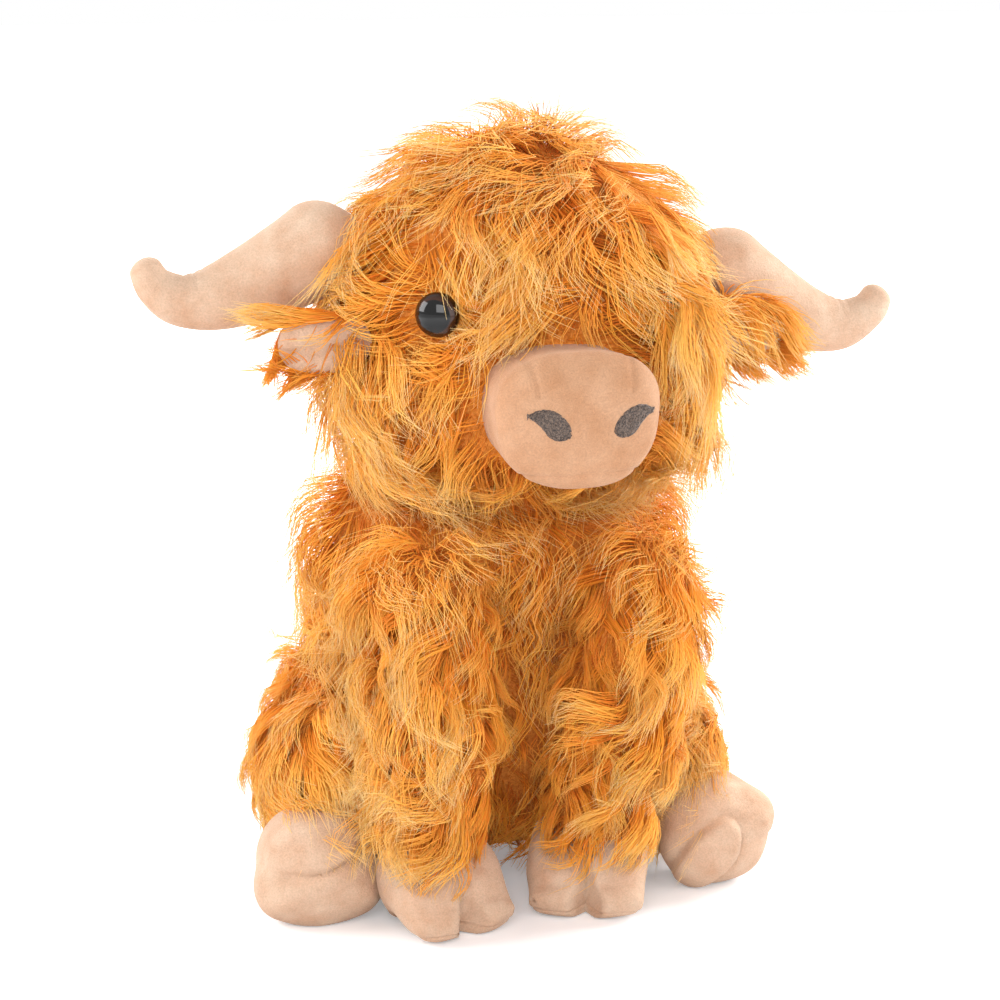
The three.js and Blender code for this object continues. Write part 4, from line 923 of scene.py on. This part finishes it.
thread = thread_material()
fill_stitches = stitch_tree()
nostril_outline = np.array([(9.6, 3.5), (4.8, 5.7), (0.6, 5.4), (-3.0, 3.2), (-5.6, -0.4), (-5.8, -3.8),
                            (-2.6, -5.3), (1.2, -4.2), (4.2, -0.6), (7.2, 2.2)]) * mm
nostril_from_middle, nostril_level = 13.9 * mm, muzzle_level + 0.8 * mm
muzzle_surface = surface_of(muzzle.data)
patch_middle = 2.2 * mm
rings, around = 9, 48
closed = np.vstack([nostril_outline, nostril_outline[:1]])
outline = through_points(closed, np.linspace(0, 1, around + 1)[:-1])
# The cow's own left is +X
sides = (("left", 1), ("right", -1))
for side_name, side in sides:
    verts, faces = [], []
    for ring in range(rings + 1):
        share = 1 - ring / rings
        for u, v in outline * share if share else outline[:1] * 0:
            ahead = Vector((patch_middle + side * (nostril_from_middle + u), muzzle_front - 20 * mm,
                            nostril_level + v))
            hit, normal, *_ = muzzle_surface.ray_cast(ahead, Vector((0, 1, 0)))
            height = 0.7 * mm * (1 - share**4) ** 0.5 - 0.25 * mm
            verts.append(hit + normal * height)
    for ring in range(rings - 1):
        for j in range(around):
            near, far, k = ring * around, (ring + 1) * around, (j + 1) % around
            faces.append((near + j, near + k, far + k, far + j)[::-side])
    for j in range(around):
        last = (rings - 1) * around
        faces.append((last + j, last + (j + 1) % around, rings * around)[::-side])
    back = len(verts)
    middle = sum((Vector(v) for v in verts[:around]), Vector()) / around
    verts.append(middle + Vector((0, 1.5 * mm, 0)))
    faces += [((j + 1) % around, j, back)[::-side] for j in range(around)]
    patch = new_piece(f"nostril_{side_name}_patch", verts, faces)
    patch.data.materials.append(thread)
    sizes = {"Stitches per square metre": 3.2e6, "Seed": 5, "Direction": (0.8 * side, 0, 1.0),
             "Stitch": (1.3 * mm, 0.24 * mm, 0.26 * mm), "Thread": thread}
    patch.data = made_by(fill_stitches, patch, sizes)
    patch.data.shade_smooth()
    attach(patch, "head")
    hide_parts(f"nostril_{side_name}")


# Eyes
# Safety eyes: a polished black plastic dome with a dark brown rim. Its shank goes through the cloth, and a
# washer behind holds it.
def eye_material():
    """Moulded acrylic, polished: nearly black, with sharp reflections and a dark brown ring near its rim."""
    plastic, tree = new_material("polished_acrylic_eye")
    place = add(tree, "ShaderNodeUVMap", uv_map="OFBake")
    split = add(tree, "ShaderNodeSeparateXYZ", {0: place.outputs[0]})
    tone = add(tree, "ShaderNodeValToRGB", {"Fac": split.outputs["Y"]})
    dye(tone, (0, "#030303"), (0.7, "#040303"), (0.76, "#3C1E0E"), (0.92, "#2A140A"), (1, "#140A05"))
    spot = add(tree, "ShaderNodeTexCoord").outputs["Object"]
    fine = add(tree, "ShaderNodeTexNoise", {"Vector": spot, "Scale": 900.0})
    gloss = add(tree, "ShaderNodeMapRange", {"Value": fine.outputs["Fac"], "To Min": 0.03, "To Max": 0.07})
    shader = add(tree, "ShaderNodeBsdfPrincipled",
                 {"Base Color": tone.outputs[0], "Roughness": gloss.outputs[0], "Specular IOR Level": 0.4,
                  "IOR": 1.49})
    add(tree, "ShaderNodeOutputMaterial", {"Surface": shader.outputs[0]})
    return plastic


eye_plastic = eye_material()
eye_seat = np.array([43.0, -104.9, 239.0]) * mm
eye_splay = np.radians(31)
for side_name, side in sides:
    # Half the section in mm, from the dome's top over its rim and along the shank: radius, height
    bowed = [(8 * np.cos(a), 1.4 + 5.4 * np.sin(a)) for a in np.linspace(0, np.pi / 2, 20)[:-1]]
    profile = [(0, 6.8), *bowed[::-1], (8.0, 0.6), (7.8, 0), (7.4, -1.2), (2.5, -1.2), (2.5, -16.2),
               (0, -16.2)]
    across = np.array([np.cos(eye_splay), side * np.sin(eye_splay), 0])
    outward = np.array([side * np.sin(eye_splay), -np.cos(eye_splay), 0])
    seat = eye_seat * [side, 1, 1]
    verts, shares = [seat + outward * profile[0][1] * mm], [0.0]
    count = 48
    for radius, height in profile[1:-1]:
        for turn in np.arange(count) / count * 2 * np.pi:
            spoke = across * np.cos(turn) + along_z * np.sin(turn)
            verts.append(seat + spoke * radius * mm + outward * height * mm)
            shares.append(radius / 8 if height > 1 else 1.0)
    verts.append(seat + outward * profile[-1][1] * mm)
    shares.append(1.0)
    ring_count = len(profile) - 2
    faces = []
    for j in range(count):
        k = (j + 1) % count
        faces.append((0, 1 + j, 1 + k)[::side])
        for r in range(ring_count - 1):
            ring = 1 + r * count
            faces.append((ring + j, ring + count + j, ring + count + k, ring + k)[::side])
        last_ring = 1 + (ring_count - 1) * count
        faces.append((len(verts) - 1, last_ring + k, last_ring + j)[::side])
    dome = new_piece(f"eye_{side_name}_dome", verts, faces)
    layer = dome.data.uv_layers.new(name="OFBake")
    corners = np.zeros(len(dome.data.loops), int)
    dome.data.loops.foreach_get("vertex_index", corners)
    map_places = np.column_stack([np.full(len(corners), 0.5), np.array(shares)[corners]])
    layer.uv.foreach_set("vector", map_places.ravel())
    dome.data.materials.append(eye_plastic)
    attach(dome, "head")
    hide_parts(f"eye_{side_name}")


# Horns
# Curved tubes of short pile with a seam along the back, filled and sewn into the head. They wrinkle
# on the inner side of the bend.
horn_reach, horn_fall, horn_root = 64 * mm, 17 * mm, 17.5 * mm
for (side_name, side), place, droop in zip(sides, horn_roots, (5, 0)):
    out = np.array([0, 0.28, 0.54, 0.76, 0.92, 1.0]) * horn_reach
    fall = np.array([0, 0.55, 0.92, 1.0, 0.68, 0.1]) * horn_fall
    droop = np.radians(droop)
    spine = place + np.column_stack([side * (out * np.cos(droop) - fall * np.sin(droop)), np.zeros(6),
                                     -fall * np.cos(droop) - out * np.sin(droop)])
    girth = np.array([1.0, 0.87, 0.69, 0.55, 0.42, 0.3]) * horn_root
    horn = form(f"horn_{side_name}", spine, np.column_stack([girth, girth]), along_y, start_ball=horn_root,
                end_round=5 * mm, count=56, steps=90)
    points, normals = points_of(horn)
    reached = np.abs(points[:, 0] - place[0])
    above = np.clip(normals[:, 2], 0, 1)
    amount = np.zeros(len(points))
    # Wrinkles on the upper side of the bend, and the seam along the back
    for at, depth in ((42, 0.25), (45, 0.45), (48.5, 0.35)):
        amount += crease(reached - at * mm, 1.0 * mm, depth * mm) * above
    from_seam = points[:, 2] - np.interp(reached, out, spine[:, 2])
    amount += crease(from_seam, 0.6 * mm, 0.5 * mm) * (normals[:, 1] > 0.6)
    moved(horn, amount)
    lumpy(horn, 15 * mm, 0.8 * mm, shift=3 * side)
    stuffed(horn, f"horn_{side_name}", (f"horn_cover_{side_name}",))


# Ears
# Flat flaps of two layers: fur on the back, and a lining of short pile that is folded once down its
# middle. They are sewn into the head below the horns.
ear_place = np.array([72.49, -79.75, 226]) * mm
for side_name, side in sides:
    place = ear_place * [side, 1, 1]
    girth = np.array([[12.0, 4.5], [12.7, 4.5], [12.6, 4.5], [11.4, 4.5]]) * mm
    spine = place + np.outer([-12 * mm, 24 * mm], side * along_x)
    ear = form(f"ear_{side_name}_backing", spine, girth, along_z, start_round=12 * mm, end_round=11 * mm,
               inset=1.2 * mm, count=40, steps=12)
    points, normals = points_of(ear)
    points[:, 1] = np.maximum(points[:, 1], place[1] + 0.2 * mm)
    set_points(ear, points)
    stuffed(ear, f"ear_{side_name}", (f"ear_cover_{side_name}",), look=backing)
    points, normals = points_of(ear)
    comb = flat_on(side * along_x + down * 0.7 + 0.5 * swirl(points, 15 * mm), normals)
    cover = np.where(points[:, 1] > place[1] + 0.6 * mm, 1.0, 0.02)
    cover *= rising(side * (points[:, 0] - place[0]), -6 * mm, 6 * mm)
    pile = np.full(len(points), (20 if side > 0 else 15) * mm)
    grow(f"ear_{side_name}_fur", ear, f"ear_{side_name}", 1600, pile, comb, cover, stand=0.35, curl=0.0022,
         lock_spacing=0.005, tuft_spacing=0.009, tuft_pull=0.4, soften=0.0, seed=60 + side)
    lining = form(f"ear_{side_name}_lining", spine, girth - 1 * mm, along_z, start_round=12 * mm,
                  end_round=11 * mm, inset=1 * mm, count=56, steps=24)
    points, normals = points_of(lining)
    points[:, 1] = np.minimum(points[:, 1], place[1] - 0.2 * mm)
    set_points(lining, points)
    points, normals = points_of(lining)
    fold = (points[:, 2] - place[2] + 1 * mm) + 0.15 * side * (points[:, 0] - place[0])
    folded = crease(fold, 2.2 * mm, 1.6 * mm) + crease(fold, 6 * mm, 0.8 * mm)
    moved(lining, folded * (normals[:, 1] < -0.5))
    stuffed(lining, f"ear_{side_name}", (f"ear_lining_{side_name}",))
    # Fur from the ear's upper edge hangs over its front, and hides the whole lining of the left ear
    points, normals = points_of(lining)
    rim = np.clip((points[:, 2] - place[2] - (2 if side > 0 else 9) * mm) / (4 * mm), 0, 1)
    rim += np.clip((place[2] - points[:, 2] - 9 * mm) / (3 * mm), 0, 1) * (1.0 if side > 0 else 0.12)
    strands, length, fall = (900, 22 * mm, 0.8) if side > 0 else (420, 26 * mm, 0.05)
    comb = flat_on(side * along_x * 0.8 + down * fall + 0.4 * swirl(points, 12 * mm), normals)
    grow(f"ear_{side_name}_fringe", lining, f"ear_{side_name}", strands, np.full(len(points), length), comb,
         rim, stand=0.4, curl=0.0022, lock_spacing=0.006, soften=0.0, seed=67 + side)


# Front legs
# Tubes of the wavy fur, sewn on at the shoulders, that hang down to the hooves. Their filling runs on into
# the hooves.
shoulder = np.array([41, -79.88, 130.03]) * mm
ankles = {"left": np.array([25, -65, 32]) * mm, "right": np.array([-35, -72, 32]) * mm}
for side_name, side in sides:
    top, foot = shoulder * [side, 1, 1], ankles[side_name] - 9 * mm * along_z
    inward, bow = np.array([0, 0.4, 0.75, 1.0]), np.array([0, 1.0, 0.8, 0]) * 6 * mm
    step = np.arange(4) / 3
    way = foot - top
    spine = np.column_stack([top[0] + inward * way[0], top[1] + step * way[1] - bow, top[2] + step * way[2]])
    girth = np.array([[25, 25], [27, 26], [27 * 0.92, 26 * 0.92], [27 * 0.8, 26 * 0.8]]) * mm
    leg = form(f"front_leg_{side_name}_backing", spine, girth, along_x, start_ball=25 * mm, end_round=12 * mm,
               inset=root_depth, count=48, steps=36)
    points, normals = points_of(leg)
    outer = np.clip(side * normals[:, :1], 0, 1)
    spread = 0.7 if side < 0 else 0.1
    comb = flat_on(down - along_y * 0.6 - along_x * 0.4 + side * along_x * spread * outer
                   + 0.9 * swirl(points, 24 * mm), normals)
    cover = open_share(points, normals, root_depth, ("body_cover", "head_cover"))
    cover *= np.clip((points[:, 2] - 31 * mm) / (4 * mm), 0.01, 1)
    cuff = rising(points[:, 2], 36 * mm, 45 * mm)
    leg_name = f"front_leg_{side_name}"
    stuffed(leg, leg_name, (f"front_leg_cover_{side_name}",), look=backing)
    # The pile is shorter on the inner side: a gap stays between the legs, and the short pile keeps the
    # painted shade of the deep coat there
    inner = np.clip(-side * normals[:, 0], 0, 1)
    shorter = 0.6 * inner + (0.3 * outer[:, 0] if side > 0 else 0)
    leg_pile = (24 + 8 * cuff) * mm * (1 - shorter) * tufted(points, 14 * mm, 0.4)
    grow(f"{leg_name}_fur", leg, leg_name, 6000, leg_pile, comb, cover, curl=0.005, seed=70 + side)


# Front hooves
# Low wedges of short pile with a notch between two toes, and a sole sewn on along the lower edge. The toes
# are turned in.
hoof_length, heel_behind = 44 * mm, 21 * mm
hoof_height, toe_notch, toe_notch_half = 38 * mm, 11 * mm, 7 * mm


def clear_of(piece, filling, gap=0.5 * mm):
    """Keeps a cover's points outside what fills it."""
    inside = surface_of(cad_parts[filling].data)
    points, _ = points_of(piece)
    for i, point in enumerate(points):
        place, normal, *_ = inside.find_nearest(Vector(point))
        offset = Vector(point) - place
        if offset.length < gap or offset.dot(normal) < -0.2 * offset.length:
            points[i] = place + normal * gap
    set_points(piece, points)
    piece.data.update()


def pressed_on_floor(piece, height=0.2 * mm):
    """Lifts what lies under the floor onto it."""
    points, _ = points_of(piece)
    points[:, 2] = np.maximum(points[:, 2], height)
    set_points(piece, points)
    piece.data.update()


for side_name, side in sides:
    foot, leg_name = ankles[side_name], f"front_leg_{side_name}"
    half = (np.array([0.92, 1.0, 0.96, 0.7, 0.4, 0.25]) * hoof_height + 0.5 * mm) / 2
    spine = np.column_stack([np.zeros(6), heel_behind - np.linspace(0, 1, 6) * hoof_length, half - 0.5 * mm])
    width = np.array([0.84, 0.94, 1.0, 1.0, 0.97, 0.9]) * 23 * mm
    hoof = form(f"front_hoof_{side_name}", spine, np.column_stack([width, half]), along_x,
                start_round=13 * mm, end_round=6 * mm, square=0.75, count=112, steps=60, round_steps=20)
    points, normals = points_of(hoof)
    toe = heel_behind - hoof_length
    notch = np.clip(1 - np.abs(points[:, 0]) / toe_notch_half, 0, 1)
    rounded = np.minimum(((np.abs(points[:, 0]) - 12 * mm) / (9 * mm)) ** 2, 1.4) * 2.5 * mm
    points[:, 1] = np.maximum(points[:, 1], toe + np.maximum(toe_notch * notch, rounded))
    set_points(hoof, points)
    points, normals = points_of(hoof)
    ahead = np.clip((heel_behind * 0.2 - points[:, 1]) / (10 * mm), 0, 1)
    # The sole's seam, and the cleft that runs on over the toes
    amount = crease(points[:, 2] - 3.2 * mm, 0.6 * mm, 0.6 * mm) * ahead
    over_notch = np.clip(1 - (points[:, 1] - toe - 10 * mm) / (7 * mm), 0, 1)
    amount += crease(points[:, 0], 1.2 * mm, 0.4 * mm) * np.clip(normals[:, 2] * 2, 0, 1) * over_notch * ahead
    moved(hoof, amount)
    toe_in = -side * np.radians(20)
    points, _ = points_of(hoof)
    turned = np.column_stack([points[:, 0] * np.cos(toe_in) - points[:, 1] * np.sin(toe_in) + foot[0],
                              points[:, 0] * np.sin(toe_in) + points[:, 1] * np.cos(toe_in) + foot[1],
                              points[:, 2]])
    set_points(hoof, turned)
    lumpy(hoof, 14 * mm, 1.0 * mm, shift=5 * side)
    clear_of(hoof, f"front_leg_filling_{side_name}")
    pressed_on_floor(hoof)
    stuffed(hoof, leg_name, (f"front_hoof_cover_{side_name}",))


# Hind legs
# Thick thighs of the wavy fur, sewn on at the hips, that lie along the torso and end in hooves. Their
# filling runs on into the hooves.
hip_plane = 60.21 * mm
for side_name, side in sides:
    share = np.array([0.84, 1.0, 0.98, 0.85])
    spine = np.column_stack([np.full(4, side * (hip_plane + 3 * mm)), 40 * mm - np.arange(4) / 3 * 88 * mm,
                             46 * mm * share])
    thigh = form(f"hind_leg_{side_name}_backing", spine, np.column_stack([share * 31, share * 46.5]) * mm,
                 along_x, start_round=36 * mm, end_round=34 * mm, inset=root_depth, count=48, steps=30)
    points, normals = points_of(thigh)
    points[:, 0] = side * np.maximum(side * points[:, 0], hip_plane + 1 * mm)
    set_points(thigh, points)
    points, normals = points_of(thigh)
    over_hoof = rising(-points[:, 1], 12 * mm, 16 * mm) * rising(points[:, 2], 30 * mm, 15 * mm)
    forward = over_hoof[:, None]
    comb = flat_on(down * (1.2 - 0.7 * forward) + side * along_x * 0.1 - along_y * (0.4 + 1.4 * forward)
                   + 0.9 * swirl(points, 24 * mm), normals)
    cover = open_share(points, normals, root_depth, ("body_cover",)) * (1 + 1.2 * over_hoof)
    cover *= np.clip((points[:, 2] - 12 * mm) / (10 * mm), 0.05, 1)
    leg_name = f"hind_leg_{side_name}"
    stuffed(thigh, leg_name, (f"hind_leg_cover_{side_name}",), look=backing)
    thigh_pile = 28 * mm * np.clip(points[:, 2] / (40 * mm), 0.35, 1) * tufted(points, 14 * mm, 0.35)
    thigh_pile *= 1 - 0.3 * rising(points[:, 2], 50 * mm, 20 * mm) + 0.6 * over_hoof
    grow(f"{leg_name}_fur", thigh, leg_name, 5500, thigh_pile, comb, cover,
         lift=1 - 0.5 * np.clip(normals[:, 2], 0, 1), seed=90 + side)


# Hind hooves
# Rounded, cloven and sewn like the front ones. The legs are splayed, so each hoof lies rolled to its side.
# The bearing goes round the hoof's face in degrees, from +X up.
for (side_name, side), roll in zip(sides, (38, 75)):
    toe, leg_name = np.array([side * 79, -73, 21.5]) * mm, f"hind_leg_{side_name}"
    share = np.array([0.86, 0.96, 1.0, 0.97])
    spine = np.column_stack([np.full(4, toe[0]), toe[1] + (1 - np.arange(4) / 3) * 40 * mm,
                             np.full(4, toe[2])])
    hoof = form(f"hind_hoof_{side_name}", spine, np.column_stack([share * 22.5, share * 22]) * mm, along_x,
                start_round=9 * mm, end_round=17 * mm, square=0.86, count=112, steps=40, round_steps=24)
    points, normals = points_of(hoof)
    across, rise = points[:, 0] - toe[0], points[:, 2] - toe[2]
    roll = np.radians(roll)
    split_at = across * np.cos(roll) - rise * np.sin(roll)
    reach = np.clip((toe[1] + 30 * mm - points[:, 1]) / (12 * mm), 0, 1)
    bearing = np.degrees(np.arctan2(rise, across)) % 360
    rim = np.clip(np.hypot(across, rise) / (17 * mm), 0, 1) ** 3
    if side > 0:
        # The near toe is an oval that lies over the far one
        shift, lift_up = across + 6 * mm, rise + 6 * mm
        along_toe = shift * np.cos(np.radians(58)) + lift_up * np.sin(np.radians(58))
        over_toe = shift * np.sin(np.radians(58)) - lift_up * np.cos(np.radians(58))
        oval = np.hypot(along_toe / (16 * mm), over_toe / (9 * mm))
        near_toe = np.clip((1.12 - oval) / 0.24, 0, 1)
        amount = 2.6 * mm * near_toe**2 * (3 - 2 * near_toe) + crease(oval - 1.16, 0.1, 1.3 * mm)
        amount *= np.clip(-normals[:, 1] * 2.5, 0, 1)
        corner_out = 2.8 * mm * fading(bearing - 18, 20) - 1.6 * mm * fading(bearing - 65, 24)
        amount += corner_out * rim
    else:
        # The sole bulges under a pinched crease
        split_at += 2 * mm + (across / (22 * mm)) ** 2 * 4 * mm
        sole = np.clip(split_at / (5 * mm), 0, 1)
        amount = 1.6 * mm * sole * (2 - sole) + crease(split_at, 1.5 * mm, 1.5 * mm)
        amount -= 1.2 * mm * (split_at < 0)
        amount += 2.6 * mm * (fading(bearing - 212, 20) + fading(bearing - 328, 20)) * rim
        amount -= 1.2 * mm * fading(bearing - 135, 25) * rim
        amount += 1.4 * mm * fading(split_at + 5 * mm, 3 * mm) * fading(across - 8 * mm, 7 * mm)
    moved(hoof, amount * reach)
    lumpy(hoof, 15 * mm, 1.0 * mm, shift=7 * side)
    clear_of(hoof, f"hind_leg_filling_{side_name}")
    pressed_on_floor(hoof)
    stuffed(hoof, leg_name, (f"hind_hoof_cover_{side_name}",))


# Tail
# A thin tube of the fur with a tuft of longer pile, sewn on at the back above the seat.
tail_spine = np.array([[0, 57.5, 44], [0, 64.3, 41.4], [0, 67.4, 33], [0, 68.5, 22]]) * mm
tail = form("tail_backing", tail_spine, np.full((4, 2), 6 * mm), along_x, start_ball=6 * mm, end_round=3 * mm,
            inset=2.5 * mm, count=20, steps=12, round_steps=5)
points, normals = points_of(tail)
stuffed(tail, "tail", ("tail_cover",), look=backing)
grow("tail_fur", tail, "tail", 1200, np.full(len(points), 15 * mm),
     flat_on(down + 0.3 * swirl(points, 15 * mm) + along_y * 0.2, normals), np.ones(len(points)), stand=0.35,
     curl=0.0012, lock_spacing=0.005, tuft_spacing=0.009, tuft_pull=0.3, seed=95)
tuft_spine, tuft_girth = np.array([[0, 68.5, 21.6], [0, 68.5, 2.7]]) * mm, np.array([[9, 9], [5.4, 5.4]]) * mm
tuft = form("tail_tuft_backing", tuft_spine, tuft_girth, along_x, start_round=3 * mm, end_round=5.4 * mm,
            inset=4 * mm, count=20, steps=8, round_steps=5)
points, normals = points_of(tuft)
stuffed(tuft, "tail", ("tail_tuft",), look=backing)
grow("tail_tuft_fur", tuft, "tail", 1300, np.full(len(points), 17 * mm),
     flat_on(down + 0.3 * swirl(points, 15 * mm) + along_y * 0.2, normals), np.ones(len(points)), stand=0.4,
     curl=0.0018, lock_spacing=0.005, tuft_spacing=0.009, tuft_pull=0.3, seed=96)


# What is inside
# Loose white fibre fills every cover, a cloth bag of pellets weighs the seat down, and a plastic washer
# holds each eye. None of it shows.
def inner_material(name, dark, pale, scale, roughness):
    """Something plain and matt, a little uneven in tone and surface."""
    made, tree = new_material(name)
    place = add(tree, "ShaderNodeTexCoord").outputs["Object"]
    pattern = add(tree, "ShaderNodeTexNoise", {"Vector": place, "Scale": scale, "Detail": 3.0})
    tone = add(tree, "ShaderNodeValToRGB", {"Fac": pattern.outputs["Fac"]})
    dye(tone, (0, dark), (1, pale))
    bump = add(tree, "ShaderNodeBump", {"Height": pattern.outputs["Fac"], "Distance": 0.0008})
    shader = add(tree, "ShaderNodeBsdfPrincipled",
                 {"Base Color": tone.outputs[0], "Roughness": roughness, "Normal": bump.outputs[0]})
    add(tree, "ShaderNodeOutputMaterial", {"Surface": shader.outputs[0]})
    return made


# Carded polyester is fluffy and white, calico is woven and unbleached, and moulded polyethylene is waxy
fibre = inner_material("polyester_fibre", "#DAD6CC", "#F6F4EE", 260.0, 0.95)
bag_cloth = inner_material("calico", "#B9AE98", "#D8CFBC", 900.0, 0.9)
washer_plastic = inner_material("moulded_polyethylene", "#DDDAD2", "#EDEBE4", 60.0, 0.45)
for name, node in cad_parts.items():
    look = next((m for key, m in (("filling", fibre), ("bean_bag", bag_cloth), ("washer", washer_plastic))
                 if key in name), None)
    if look:
        node.data.materials.clear()
        node.data.materials.append(look)
